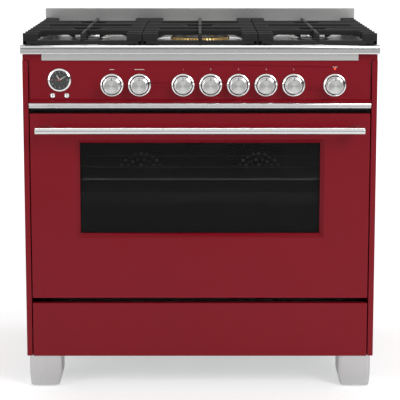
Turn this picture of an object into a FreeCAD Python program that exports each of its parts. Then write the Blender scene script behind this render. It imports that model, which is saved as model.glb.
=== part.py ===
"""A 900 mm freestanding range: gas burners above an electric convection oven, with a storage drawer.

Frame: +Z up, the front faces -Y, +X to the right of someone who faces the front.
The origin lies on the floor, midway between the sides and midway between handle and back.
Every length is in millimetres.
"""

import FreeCAD, Part
import os
import re

import Sketcher
from FreeCAD import Placement, Rotation, Vector

PARTS_FOLDER = "parts"
MAX_NODES = 60

# Driving dimensions: alias, value, meaning.
SIZES = [
    ("body_width", 900, "outside width over the side panels"),
    ("body_depth", 620, "front edge of the side panels to the back"),
    ("leg_height", 85, "floor to the underside of the body"),
    ("side_height", 771, "height of the side panels"),
    ("plate", 1.5, "thickness of the sheet steel"),
    ("side_return", 14, "width of the side panel's front edge"),
    ("return_lip", 25, "depth of the lip folded back from that edge"),
    ("rear_return", 20, "width of the side panel's rear flange"),
    ("block_width", 49, "width of the painted block under each end of the rail"),
    ("block_set", 6, "set-back of that block"),
    ("block_depth", 19, "depth of that block"),
    ("slack", 0.5, "gap left beside a fitted panel"),
    ("boot_width", 85, "width of a leg boot"),
    ("boot_depth", 80, "depth of a leg boot"),
    ("boot_set", 8, "set-back of the front boots"),
    ("boot_inset", 5, "distance of a boot from the body's side"),
    ("boot_wall", 3, "wall of a leg boot"),
    ("boot_lift", 3, "gap between boot and floor"),
    ("boot_taper_height", 33, "height at which a boot starts to taper"),
    ("boot_taper_inner", 8, "taper of a boot on its inner side"),
    ("boot_taper_outer", 2.5, "taper of a boot on its outer side"),
    ("boot_corner", 10, "radius of a boot's upright edges"),
    ("foot_radius", 24, "radius of a levelling foot's pad"),
    ("foot_height", 9, "height of that pad"),
    ("stud_radius", 6, "radius of the levelling stud"),
    ("stud_length", 58, "length of the levelling stud"),
    ("nut_radius", 14, "radius of the boss that the stud screws into"),
    ("nut_height", 36, "height of that boss"),
    ("running_gap", 0.05, "radial clearance of a turning or screwed fit"),
    ("tray_flange", 40, "height of the base tray's side flanges"),
    ("vent_slot_length", 100, "length of a vent slot in the rear panel"),
    ("vent_slot_height", 6, "height of a vent slot"),
    ("vent_slot_pitch", 28, "distance between vent slots"),
    ("strip_height", 17, "height of the steel strip under the rail"),
    ("strip_set", 2, "set-back of that strip"),
    ("strip_flange", 22, "depth of the strip's bottom flange"),
    ("rail_height", 22, "height of the cooktop's front rail"),
    ("rail_overhang", 4, "overhang of the rail at each side"),
    ("rail_reach", 14, "reach of the rail in front of the side panels"),
    ("rail_depth", 24, "depth of the rail"),
    ("rail_round", 6, "radius of the rail's long edges"),
    ("hob_drop", 12, "drop from the rail's top to the hob surface"),
    ("rim_drop", 2, "drop from the rail's top to the side rims"),
    ("rim_width", 9, "width of the hob's side rims"),
    ("guard_rise", 58.5, "height of the backguard above the rail"),
    ("guard_depth", 18, "depth of the backguard"),
    ("grate_rise", 30, "height of the grate tops above the rail"),
    ("grate_lift", 1, "clearance of the grate's frame above the rail"),
    ("grate_set", 4, "set-back of the grates from the side panels' front edge"),
    ("grate_bar", 10, "width of a grate's bars"),
    ("grate_frame_height", 11, "height of a grate's lower frame"),
    ("grate_span", 588, "distance between the first and last bar"),
    ("grate_edge", 2, "gap from the outer grates to the body's side"),
    ("grate_gap", 2.5, "gap between two grates"),
    ("centre_grate", 290, "width of the centre grate"),
    ("stub_length", 38, "length of a grate's short side fingers"),
    ("finger_clear", 32, "distance from a burner's centre to the finger tips"),
    ("grate_foot", 14, "side of a grate's feet"),
    ("grate_foot_set", 14, "distance of a grate's feet from its edge"),
    ("corner_cup", 30, "radius of a corner burner's cup"),
    ("cup_depth", 50, "depth of the burner cups below the hob"),
    ("corner_flange", 50, "radius of a corner burner's flange"),
    ("flange_thick", 3, "thickness of the burner flanges"),
    ("corner_head", 40, "radius of a corner burner's head"),
    ("head_height", 9, "height of the burner heads"),
    ("corner_cap", 43, "radius of a corner burner's cap"),
    ("cap_height", 6, "height of the burner caps"),
    ("wok_cup", 66, "radius of the centre burner's cup"),
    ("wok_flange", 100, "radius of the centre burner's flange"),
    ("wok_ring", 80, "outer radius of the centre burner's brass ring"),
    ("wok_ring_inner", 54, "inner radius of that ring"),
    ("wok_core", 28, "radius of the centre burner's brass core"),
    ("slot_width", 2.4, "width of a flame slot"),
    ("slot_depth", 5, "depth of a flame slot"),
    ("fascia_height", 98, "height of the control fascia's flat"),
    ("fascia_set", 6, "set-back of the fascia"),
    ("fascia_flange", 24, "depth of the fascia's top flange"),
    ("lip_reach", 12, "reach of the fascia's sloping lip"),
    ("lip_drop", 7, "drop of that lip"),
    ("lip_edge", 2, "height of the lip's front edge"),
    ("trim_height", 14, "height of the chrome trim under the fascia"),
    ("trim_reach", 4, "reach of the trim's core"),
    ("trim_depth", 12, "depth of the trim's core"),
    ("trim_bead", 3.4, "radius of the trim's upper bead"),
    ("trim_bead_small", 2.2, "radius of the trim's lower bead"),
    ("knob_height", 793, "height of the knob axes above the floor"),
    ("knob_radius", 22.5, "radius of a knob"),
    ("knob_rim", 3, "radial width of the chamfer round a knob's face"),
    ("knob_length", 27, "length of a knob"),
    ("knob_chamfer", 4, "depth of the chamfer round a knob's face"),
    ("knob_standoff", 5, "gap between a knob and the fascia"),
    ("knob_notch", 1.6, "width of a knob's pointer notch"),
    ("knob_notch_length", 6, "length of a knob's pointer notch"),
    ("lamp_holder", 10, "depth of the indicator lamp's holder"),
    ("press_travel", 4, "push needed before a burner knob turns"),
    ("bezel_clear", 1.5, "radial gap between a knob and its bezel"),
    ("bezel_width", 5.5, "radial width of a dial bezel"),
    ("bezel_depth", 7, "depth of a dial bezel"),
    ("bezel_chamfer", 3.5, "chamfer of a dial bezel"),
    ("spindle_radius", 3, "radius of a spindle"),
    ("spindle_reach", 26, "length of a spindle behind the fascia's face"),
    ("spindle_grip", 14, "length of a spindle inside its knob"),
    ("spindle_hole", 5, "radius of the fascia's spindle holes"),
    ("oven_knob_x", -223.5, "the function knob's place across the range"),
    ("oven_knob_pitch", 70, "distance from function knob to temperature knob"),
    ("burner_knob_x", -43.1, "the first burner knob's place"),
    ("burner_knob_pitch", 70.2, "distance between burner knobs"),
    ("clean_knob_x", 342, "the cleaning knob's place"),
    ("lamp_height", 835, "height of the indicator lamp"),
    ("lamp_radius", 3.2, "radius of the indicator lamp"),
    ("clock_x", -356.4, "the clock's place"),
    ("clock_height", 806, "height of the clock's axis"),
    ("clock_radius", 25, "radius of the clock's housing"),
    ("clock_bezel", 30, "outer radius of the clock's bezel"),
    ("clock_window", 24, "inner radius of the clock's bezel"),
    ("clock_depth", 28, "depth of the clock's housing"),
    ("arbor_radius", 0.9, "radius of the clock's arbor"),
    ("hand_thick", 0.6, "thickness of a clock hand"),
    ("hour_length", 12, "length of the hour hand"),
    ("minute_length", 19, "length of the minute hand"),
    ("hand_width", 1.8, "width of a clock hand"),
    ("button_spread", 36, "distance between the clock buttons"),
    ("button_height", 766.5, "height of the clock buttons"),
    ("button_radius", 6.2, "radius of a clock button"),
    ("button_reach", 5, "reach of a clock button in front of the fascia"),
    ("button_flange", 8.2, "radius of the flange that keeps a button in"),
    ("button_travel", 1.8, "travel of a clock button"),
    ("fit_gap", 0.3, "gap round a sliding or seated piece"),
    ("tap_side", 32, "side of a gas tap's body"),
    ("tap_depth", 40, "depth of a gas tap"),
    ("plug_radius", 8, "radius of a tap's plug"),
    ("plug_length", 21, "length of a tap's plug"),
    ("switch_side", 40, "side of an oven switch"),
    ("switch_depth", 34, "depth of an oven switch"),
    ("manifold_side", 20, "side of the gas manifold"),
    ("manifold_wall", 2, "wall of the gas manifold"),
    ("manifold_tail", 30, "length of manifold beyond the end taps"),
    ("feed_radius", 8, "radius of the gas feed pipe"),
    ("inlet_radius", 10.65, "radius of the threaded gas inlet"),
    ("inlet_length", 30, "length of the threaded gas inlet"),
    ("inlet_hole", 32, "radius of the rear panel's hole round the inlet"),
    ("gland_x", -300, "place of the mains cable hole"),
    ("gland_radius", 14, "radius of the mains cable hole"),
    ("tube_radius", 4, "radius of a burner tube"),
    ("tube_height", 838, "height of the burner tubes"),
    ("tube_bend", 14, "bend radius of a burner tube"),
    ("door_height", 480.5, "height of the oven door"),
    ("door_gap", 14.5, "gap between the trim and the door"),
    ("door_side_gap", 3, "gap between the door and a side panel"),
    ("door_proud", 2, "how far the door stands proud of the sides"),
    ("door_skin", 2, "thickness of the door's outer panel"),
    ("door_skin_depth", 24, "depth of that panel's folded edges"),
    ("door_thick", 45, "thickness of the door"),
    ("window_width", 614, "width of the window"),
    ("window_height", 234, "height of the window"),
    ("window_drop", 76.5, "distance from the door's top to the window"),
    ("window_bevel", 12, "width and depth of the bevel round the window"),
    ("glass_thick", 4, "thickness of a glass pane"),
    ("glass_lap", 16, "overlap of a pane past its opening"),
    ("inner_side", 8, "distance from the door's edge to its inner panel"),
    ("inner_window_lap", 8, "how much wider the inner opening is than the window"),
    ("hinge_rise", 10, "height of the hinge axis above the door's bottom"),
    ("hinge_set", 16, "distance of the hinge axis behind the door's face"),
    ("hinge_x", 402, "place of the hinges either side of the middle"),
    ("hinge_plate", 5, "thickness of the fixed hinge plate"),
    ("hinge_radius", 8, "radius of the fixed hinge plate's eye"),
    ("pin_radius", 4, "radius of a hinge pin"),
    ("yoke_cheek", 3, "thickness of a hinge yoke's cheeks"),
    ("yoke_gap", 6, "gap from the fixed hinge plate to a cheek"),
    ("yoke_height", 70, "height of a hinge yoke"),
    ("yoke_depth", 18, "depth of a hinge yoke"),
    ("handle_reach", 61, "reach of the handle in front of the side panels"),
    ("handle_radius", 9, "radius of the handle bar"),
    ("handle_length", 830, "length of the handle bar"),
    ("handle_drop", 37.5, "distance from the door's top to the handle's axis"),
    ("post_x", 392, "place of the handle posts either side of the middle"),
    ("post_width", 22, "width of a handle post"),
    ("post_height", 12, "height of a handle post"),
    ("drawer_gap", 14, "gap between the door and the drawer"),
    ("drawer_skin_depth", 18, "depth of the drawer front"),
    ("drawer_box_height", 95, "height of the drawer box"),
    ("drawer_box_depth", 470, "depth of the drawer box"),
    ("drawer_side_gap", 19, "gap from the drawer box to the slide's wall"),
    ("drawer_floor", 8, "height of the drawer box above the base tray"),
    ("slide_height", 34, "height of a drawer slide"),
    ("slide_thick", 6, "thickness of a drawer slide's member"),
    ("slide_reach", 10, "how far the fixed slides reach behind the drawer box"),
    ("liner_width", 694, "outside width of the oven liner"),
    ("liner_height", 394, "outside height of the oven liner"),
    ("liner_depth", 470, "depth of the oven liner"),
    ("liner_bottom", 298, "height of the oven liner's underside"),
    ("liner_wall", 2, "wall of the oven liner"),
    ("frame_thick", 2, "thickness of the liner's front frame"),
    ("frame_below", 12, "how far the frame reaches below the hinges"),
    ("seal_width", 10, "width of the door seal"),
    ("seal_margin", 4, "distance from the cavity to the seal"),
    ("seal_gap", 3, "thickness of the door seal"),
    ("baffle_set", 40, "distance from the cavity's back to the fan baffle"),
    ("baffle_hole", 5, "radius of the baffle's air holes"),
    ("cover_radius", 98, "radius of the raised cover in front of a fan"),
    ("cover_rise", 4, "rise of that cover"),
    ("fan_x", 169, "place of the fans either side of the middle"),
    ("fan_height", 480, "height of the fan axes"),
    ("fan_radius", 68, "radius of a fan"),
    ("fan_depth", 22, "depth of a fan's blades"),
    ("fan_hub", 14, "radius of a fan's hub"),
    ("fan_collar", 18, "radius of the collar that holds a fan's vanes"),
    ("vane_thick", 2, "thickness of a fan's vanes and disc"),
    ("fan_shaft", 4, "radius of a fan's shaft"),
    ("motor_radius", 38, "radius of a fan motor"),
    ("motor_depth", 55, "depth of a fan motor"),
    ("ring_radius", 84, "radius of a ring element"),
    ("element_radius", 3.5, "radius of a heating element's sheath"),
    ("broil_drop", 22, "distance from the cavity's top to the broil element"),
    ("broil_width", 560, "width of the broil element"),
    ("broil_depth", 300, "depth of the broil element"),
    ("bake_drop", 14, "distance from the liner's underside to the bake element"),
    ("hanger_width", 12, "width of an element's hanger"),
    ("hanger_thick", 2, "thickness of an element's hanger"),
    ("wire_radius", 2, "radius of the racks' wires"),
    ("rod_radius", 3.5, "radius of the racks' side rods"),
    ("cross_radius", 3, "radius of the racks' cross rods"),
    ("rack_side_gap", 16, "gap from the cavity wall to a rack"),
    ("rack_front_gap", 14, "gap from the cavity's mouth to a rack"),
    ("rack_depth", 400, "depth of a rack"),
    ("upper_rack", 541, "height of the upper rack"),
    ("lower_rack", 342, "height of the lower rack"),
    ("pan_height", 28, "height of the roasting pan"),
    ("pan_bottom", 479, "height of the roasting pan's underside"),
    ("pan_wall", 1.5, "wall of the roasting pan"),
    ("guide_radius", 2.5, "radius of the rack guides' rods"),
    ("post_inset", 30, "distance of the guides' posts from a rack's ends"),
    ("rail_inset", 8, "distance of the guides' rails from a rack's ends"),
    ("pan_flange_drop", 8, "distance from the pan's underside to the guides' level"),
]

# Places worked out from the driving dimensions.
PLACES = [
    ("half_width", "body_width / 2"),
    ("front_y", "-(body_depth - handle_reach) / 2"),
    ("rear_y", "front_y + body_depth"),
    ("rear_set", "plate"),
    ("inner_half", "half_width - plate"),
    ("lip_half", "half_width - side_return"),
    ("side_top", "leg_height + side_height"),
    ("rail_bottom", "side_top + strip_height"),
    ("rail_top", "rail_bottom + rail_height"),
    ("rail_back", "front_y - rail_reach + rail_depth"),
    ("hob_z", "rail_top - hob_drop"),
    ("guard_y", "rear_y - guard_depth"),
    ("grate_top", "rail_top + grate_rise"),
    ("grate_low", "rail_top + grate_lift"),
    ("bar_low", "grate_low + grate_frame_height"),
    ("grate_front", "front_y + grate_set"),
    ("bar_pitch", "grate_span / 10"),
    ("grate_y", "grate_front + grate_bar / 2"),
    ("front_burner_y", "grate_y + 3 * bar_pitch"),
    ("rear_burner_y", "grate_y + 7 * bar_pitch"),
    ("wok_y", "grate_y + 5 * bar_pitch"),
    ("side_grate_inner", "centre_grate / 2 + grate_gap"),
    ("side_grate_outer", "half_width - grate_edge"),
    ("burner_x", "(side_grate_inner + side_grate_outer) / 2"),
    ("fascia_y", "front_y + fascia_set"),
    ("fascia_half", "lip_half - plate - slack"),
    ("fascia_bottom", "side_top - fascia_height"),
    ("lip_z", "fascia_bottom - lip_drop"),
    ("trim_top", "lip_z - lip_edge"),
    ("trim_bottom", "trim_top - trim_height"),
    ("door_top", "trim_bottom - door_gap"),
    ("door_bottom", "door_top - door_height"),
    ("door_half", "lip_half - door_side_gap"),
    ("door_y", "front_y - door_proud"),
    ("door_back", "door_y + door_thick"),
    ("window_top", "door_top - window_drop"),
    ("window_bottom", "window_top - window_height"),
    ("window_half", "window_width / 2"),
    ("glass_y", "door_y + window_bevel"),
    ("inner_panel_y", "door_back - door_thick + door_skin_depth"),
    ("hinge_y", "door_y + hinge_set"),
    ("hinge_z", "door_bottom + hinge_rise"),
    ("handle_y", "front_y - handle_reach + handle_radius"),
    ("handle_z", "door_top - handle_drop"),
    ("frame_y", "door_back + seal_gap"),
    ("cavity_half", "liner_width / 2 - liner_wall"),
    ("cavity_bottom", "liner_bottom + liner_wall"),
    ("cavity_top", "liner_bottom + liner_height - liner_wall"),
    ("liner_back", "frame_y + liner_depth"),
    ("cavity_back", "liner_back - liner_wall"),
    ("baffle_y", "cavity_back - baffle_set"),
    ("tray_y", "front_y + return_lip"),
    ("drawer_top", "door_bottom - drawer_gap"),
    ("drawer_back", "door_y + drawer_skin_depth"),
    ("box_bottom", "leg_height + plate + drawer_floor"),
    ("slide_outer", "inner_half - plate"),
    ("slide_z", "box_bottom + drawer_box_height / 2"),
    ("box_half", "slide_outer - drawer_side_gap"),
    ("tap_y", "fascia_y + plate"),
    ("tap_back", "tap_y + tap_depth"),
    ("manifold_y", "tap_back + manifold_side / 2"),
    ("plug_y", "tap_back - tap_side / 6 - plug_length - fit_gap"),
    ("knob_face", "knob_radius - knob_rim"),
    ("bezel_inner", "knob_radius + bezel_clear"),
    ("bezel_outer", "bezel_inner + bezel_width"),
    ("last_knob_x", "burner_knob_x + 4 * burner_knob_pitch"),
    ("feed_x", "last_knob_x + manifold_tail"),
    ("rack_half", "cavity_half - rack_side_gap"),
    ("rack_front", "frame_y + rack_front_gap"),
    ("rack_back", "rack_front + rack_depth"),
]

doc = FreeCAD.newDocument("freestanding_range")
sheet = doc.addObject("Spreadsheet::Sheet", "Sizes")
places = doc.addObject("App::VarSet", "Places")
owner = {}
nodes = {}


def formula(text):
    """Turns a formula of plain names into one that reads the sheet and the places."""
    return re.sub(r"[a-z_]\w*", lambda m: owner.get(m.group(), "") + m.group(), str(text))


def value(text):
    """The number that a formula of plain names gives now."""
    return float(places.evalExpression(formula(text)))


def fill_sheet():
    for row, (alias, size, meaning) in enumerate(SIZES, start=1):
        sheet.set(f"A{row}", alias)
        sheet.set(f"B{row}", str(size))
        sheet.set(f"C{row}", meaning)
        sheet.setAlias(f"B{row}", alias)
        owner[alias] = "Sizes."
    doc.recompute()
    for name, text in PLACES:
        places.addProperty("App::PropertyFloat", name, "Places")
        places.setExpression(name, formula(text))
        owner[name] = "Places."
        doc.recompute()


# ---------------------------------------------------------------- building blocks


def bind(thing, **formulas):
    """Binds properties to formulas; a double underscore in a name stands for a dot."""
    for name, text in formulas.items():
        thing.setExpression(name.replace("__", "."), formula(text))
    return thing


def put(thing, x=0, y=0, z=0):
    return bind(thing, Placement__Base__x=x, Placement__Base__y=y, Placement__Base__z=z)


def block(name, x, y, z):
    """A box between two formulas along each axis."""
    solid = doc.addObject("Part::Box", name)
    put(solid, x[0], y[0], z[0])
    return bind(solid, Length=f"({x[1]}) - ({x[0]})", Width=f"({y[1]}) - ({y[0]})",
                Height=f"({z[1]}) - ({z[0]})")


ALONG = {
    "x": Rotation(Vector(0, 1, 0), 90),
    "y": Rotation(Vector(1, 0, 0), -90),
    "z": Rotation(),
}


def rod(name, axis, centre, span, radius):
    """A cylinder along one axis; centre gives the other two coordinates in x, y, z order."""
    solid = doc.addObject("Part::Cylinder", name)
    solid.Placement = Placement(Vector(), ALONG[axis])
    across = iter(centre)
    put(solid, *(span[0] if a == axis else next(across) for a in "xyz"))
    return bind(solid, Radius=radius, Height=f"({span[1]}) - ({span[0]})")


def fuse(name, *solids):
    joined = doc.addObject("Part::MultiFuse", name)
    joined.Shapes = list(solids)
    return joined


def cut(name, base, *tools):
    result = doc.addObject("Part::Cut", name)
    result.Base = base
    result.Tool = tools[0] if len(tools) == 1 else fuse(name + "_tools", *tools)
    return result


def group(name, *solids):
    """Separate solids that share one node."""
    together = doc.addObject("Part::Compound", name)
    together.Links = list(solids)
    return together


def mirror_x(name, source):
    """The same piece on the other side of the range."""
    twin = doc.addObject("Part::Mirroring", name)
    twin.Source = source
    twin.Normal = Vector(1, 0, 0)
    return twin


def rounded(name, base, radius, pick):
    """Rounds the edges of base that pick accepts, with a radius named in the sheet."""
    doc.recompute()
    size = value(radius)
    result = doc.addObject("Part::Fillet", name)
    result.Base = base
    result.Edges = [(i, size, size) for i, edge in enumerate(base.Shape.Edges, 1) if pick(edge)]
    return result


def runs_along(axis, at_least):
    """Picks the straight edges along an axis that are at least so long."""
    def pick(edge):
        box = edge.BoundBox
        sides = {"x": box.XLength, "y": box.YLength, "z": box.ZLength}
        length = sides.pop(axis)
        return length >= at_least and max(sides.values()) < 1e-3
    return pick


def outline(body, plane, points):
    """A closed sketch on one of the body's own planes, each corner held by two formulas."""
    sketch = body.newObject("Sketcher::SketchObject", body.Name + "_outline")
    origin = [f for f in body.Origin.OriginFeatures if f.Role == plane + "_Plane"]
    sketch.AttachmentSupport = [(origin[0], "")]
    sketch.MapMode = "FlatFace"
    corners = [Vector(value(u), value(v), 0) for u, v in points]
    last = len(corners) - 1
    for i, corner in enumerate(corners):
        sketch.addGeometry(Part.LineSegment(corner, corners[i + 1 if i < last else 0]), False)
    for i in range(last + 1):
        sketch.addConstraint(Sketcher.Constraint("Coincident", i, 2, i + 1 if i < last else 0, 1))
    for i, (u, v) in enumerate(points):
        across = ("DistanceX", u, corners[i].x, -2)
        upward = ("DistanceY", v, corners[i].y, -1)
        for kind, text, size, axis in (across, upward):
            if str(text) == "0":
                sketch.addConstraint(Sketcher.Constraint("PointOnObject", i, 1, axis))
                continue
            held = sketch.addConstraint(Sketcher.Constraint(kind, -1, 1, i, 1, size))
            label = f"{kind[-1].lower()}{i}"
            sketch.renameConstraint(held, label)
            sketch.setExpression("Constraints." + label, formula(text))
    return sketch


def extruded(name, plane, span, points):
    """A PartDesign body: an outline on a plane, padded over a span along the plane's normal."""
    body = doc.addObject("PartDesign::Body", name)
    sketch = outline(body, plane, points)
    pad = body.newObject("PartDesign::Pad", name + "_pad")
    pad.Profile = sketch
    bind(pad, Length=f"({span[1]}) - ({span[0]})")
    start = {"YZ": (span[0], 0, 0), "XZ": (0, span[1], 0), "XY": (0, 0, span[0])}[plane]
    put(body, *start)
    body.Tip = pad
    return body


def turned(name, turn, centre, points):
    """A PartDesign body: a profile of (radius, height) corners turned about its own axis."""
    body = doc.addObject("PartDesign::Body", name)
    sketch = outline(body, "XZ", points)
    spin = body.newObject("PartDesign::Revolution", name + "_turn")
    spin.Profile = sketch
    spin.ReferenceAxis = (sketch, ["V_Axis"])
    spin.Angle = 360
    body.Tip = spin
    body.Placement = Placement(Vector(), turn)
    put(body, *centre)
    return body


UPWARD = Rotation()
FORWARD = Rotation(Vector(1, 0, 0), 90)


def node(name, shape):
    """Names the finished piece: its label is the node's name."""
    shape.Label = name
    nodes[name] = shape
    return shape


# ---------------------------------------------------------------- casing


def side_panels():
    """Folded sheets with a front return and lip, a rear flange and the block under the rail."""
    folded = extruded("side_fold", "XY", ("leg_height", "side_top"), [
        ("-half_width", "front_y"),
        ("-lip_half", "front_y"),
        ("-lip_half", "front_y + return_lip"),
        ("-lip_half - plate", "front_y + return_lip"),
        ("-lip_half - plate", "front_y + plate"),
        ("-inner_half", "front_y + plate"),
        ("-inner_half", "rear_y - plate"),
        ("-half_width + rear_return", "rear_y - plate"),
        ("-half_width + rear_return", "rear_y"),
        ("-half_width", "rear_y"),
    ])
    corner = block("side_block", ("-half_width", "-half_width + block_width"),
                   ("front_y + block_set", "front_y + block_set + block_depth"),
                   ("side_top", "rail_bottom"))
    left = fuse("side_left", folded, corner)
    node("left_side_panel", left)
    node("right_side_panel", mirror_x("side_right", left))


def rear_panel():
    """The back skin, with vent slots, the gas inlet's opening and the cable hole."""
    skin = block("rear_skin", ("-inner_half", "inner_half"),
                 ("rear_y - rear_set - plate", "rear_y - rear_set"), ("leg_height + plate", "side_top"))
    through = ("rear_y - rear_set - 2 * plate", "rear_y")
    openings = [
        rod("rear_inlet_hole", "y", ("feed_x", "knob_height"), through, "inlet_hole"),
        rod("rear_cable_hole", "y", ("gland_x", "knob_height"), through, "gland_radius"),
    ]
    half = "vent_slot_length / 2"
    for row in range(5):
        for side in (-1, 1):
            centre = f"{side} * fan_x"
            low = f"fan_height - motor_radius + {row - 1} * vent_slot_pitch"
            openings.append(block(f"rear_slot_{row}_{side + 1}", (f"{centre} - {half}", f"{centre} + {half}"),
                                  through, (low, f"{low} + vent_slot_height")))
    node("rear_panel", cut("rear_panel_cut", skin, *openings))


def base_tray():
    """The floor of the body, with side flanges and the bolt holes of the legs."""
    span = ("tray_y", "rear_y - rear_set - plate")
    outer = block("tray_outer", ("-inner_half", "inner_half"), span,
                  ("leg_height", "leg_height + tray_flange"))
    inner = block("tray_inner", ("-inner_half + plate", "inner_half - plate"),
                  ("tray_y - 1", "rear_y - rear_set - 2 * plate"),
                  ("leg_height + plate", "leg_height + tray_flange + 1"))
    node("base_tray", cut("tray_cut", outer, inner))


def boot_centres():
    """The centres of the four legs as formulas."""
    x = "(half_width - boot_inset - boot_width / 2)"
    front = "front_y + boot_set + boot_depth / 2"
    rear = "rear_y - boot_set - boot_depth / 2"
    return [(f"-{x}", front), (x, front), (f"-{x}", rear), (x, rear)]


def leg(index, x, y, outward):
    """One hollow leg boot that tapers towards the floor, with the boss for its stud."""
    half = "boot_width / 2"
    outer = f"({x}) + {outward} * ({half})"
    inner = f"({x}) - {outward} * ({half})"
    span = (f"{y} - boot_depth / 2", f"{y} + boot_depth / 2")
    corners = [
        (outer, "leg_height"),
        (outer, "boot_taper_height"),
        (f"{outer} - {outward} * boot_taper_outer", "boot_lift"),
        (f"{inner} + {outward} * boot_taper_inner", "boot_lift"),
        (inner, "boot_taper_height"),
        (inner, "leg_height"),
    ]
    solid = extruded(f"boot_{index}", "XZ", span, corners)

    def upright(edge):
        box = edge.BoundBox
        return box.YLength < 1e-3 and box.ZLength > value("boot_lift")

    smooth = rounded(f"boot_round_{index}", solid, "boot_corner", upright)
    margin = "(boot_wall + boot_taper_inner)"
    hollow = block(f"boot_hollow_{index}", (f"({x}) - {half} + {margin}", f"({x}) + {half} - {margin}"),
                   (f"{span[0]} + {margin}", f"{span[1]} - {margin}"), (0, "leg_height - boot_wall"))
    shell = cut(f"boot_shell_{index}", smooth, hollow)
    boss = rod(f"boot_boss_{index}", "z", (x, y), ("leg_height - nut_height", "leg_height"), "nut_radius")
    bore = rod(f"boot_bore_{index}", "z", (x, y), ("leg_height - nut_height - 1", "leg_height - boot_wall"),
               "stud_radius + running_gap")
    return cut(f"boot_done_{index}", fuse(f"boot_fuse_{index}", shell, boss), bore)


def legs():
    boots, feet = [], []
    for index, (x, y) in enumerate(boot_centres()):
        boots.append(leg(index, x, y, -1 if index % 2 == 0 else 1))
        feet.append(turned(f"foot_{index}", UPWARD, (x, y, 0), [
            (0, 0),
            ("foot_radius", 0),
            ("foot_radius", "foot_height"),
            ("stud_radius", "foot_height"),
            ("stud_radius", "foot_height + stud_length"),
            (0, "foot_height + stud_length"),
        ]))
    node("leg_boots", group("boots", *boots))
    node("levelling_feet", group("feet", *feet))


def backguard():
    """A folded steel upstand along the back of the cooktop."""
    outer = block("guard_outer", ("-half_width", "half_width"), ("guard_y", "rear_y"),
                  ("hob_z", "rail_top + guard_rise"))
    inner = block("guard_inner", ("-inner_half", "inner_half"), ("guard_y + plate", "rear_y - plate"),
                  ("hob_z - 1", "rail_top + guard_rise - plate"))
    node("backguard", cut("guard_cut", outer, inner))


# ---------------------------------------------------------------- cooktop

BURNERS = [
    ("front_left", "-burner_x", "front_burner_y"),
    ("rear_left", "-burner_x", "rear_burner_y"),
    ("rear_right", "burner_x", "rear_burner_y"),
    ("front_right", "burner_x", "front_burner_y"),
]


def cooktop():
    """The pressed hob plate with its skirt, and the rail and strip along its front."""
    outer = block("hob_outer", ("-half_width", "half_width"), ("rail_back", "rear_y"),
                  ("side_top", "rail_top - rim_drop"))
    well = block("hob_well", ("-half_width + rim_width", "half_width - rim_width"),
                 ("rail_back - 1", "guard_y"), ("hob_z", "rail_top"))
    rear = block("hob_rear", ("-half_width - 1", "half_width + 1"), ("guard_y - 1", "rear_y + 1"),
                 ("hob_z", "rail_top"))
    under = block("hob_under", ("-inner_half", "inner_half"), ("rail_back + plate", "rear_y - plate"),
                  ("side_top - 1", "hob_z - plate"))
    notch = block("hob_notch", ("-half_width - 1", "half_width + 1"),
                  ("rail_back - 1", "front_y + block_set + block_depth"), ("side_top - 1", "rail_bottom"))
    holes = [rod(f"hob_hole_{name}", "z", (x, y), ("hob_z - 5", "hob_z + 5"), "corner_cup + fit_gap")
             for name, x, y in BURNERS]
    holes.append(rod("hob_hole_wok", "z", (0, "wok_y"), ("hob_z - 5", "hob_z + 5"), "wok_cup + fit_gap"))
    node("cooktop_tray", cut("hob_cut", outer, well, rear, under, notch, *holes))

    half = "half_width + rail_overhang"
    bar = block("rail_bar", (f"-({half})", half), ("front_y - rail_reach", "rail_back"),
                ("rail_bottom", "rail_top"))
    smooth = rounded("rail_rounded", bar, "rail_round", runs_along("x", value("body_width")))
    wall = "(rail_round / 2 + plate)"
    core = block("rail_core", (f"-({half}) + {wall}", f"{half} - {wall}"),
                 (f"front_y - rail_reach + {wall}", f"rail_back - {wall}"),
                 (f"rail_bottom + {wall}", f"rail_top - {wall}"))
    node("cooktop_rail", cut("rail_hollow", smooth, core))

    strip_half = "half_width - block_width"
    face = block("strip_face", (f"-({strip_half})", strip_half),
                 ("front_y + strip_set", "front_y + strip_set + plate"), ("side_top", "rail_bottom"))
    floor = block("strip_floor", (f"-({strip_half})", strip_half),
                  ("front_y + strip_set", "front_y + strip_set + strip_flange"),
                  ("side_top", "side_top + plate"))
    node("vent_strip", fuse("strip_fused", face, floor))


def slots(name, x, y, radius, count, low, high):
    """Radial flame slots round a burner head, each a thin box turned about the burner's axis."""
    tools = []
    for i in range(count):
        tool = doc.addObject("Part::Box", f"{name}_{i}")
        bind(tool, Length="slot_depth * 2", Width="slot_width", Height=f"({high}) - ({low})")
        angle = 360 * i / count
        turn = Rotation(Vector(0, 0, 1), angle)
        tool.Placement = Placement(Vector(), turn)
        reach = f"({radius} - slot_depth)"
        put(tool, f"({x}) + {reach} * cos({angle} deg) + slot_width / 2 * sin({angle} deg)",
            f"({y}) + {reach} * sin({angle} deg) - slot_width / 2 * cos({angle} deg)", low)
        tools.append(tool)
    return tools


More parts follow.
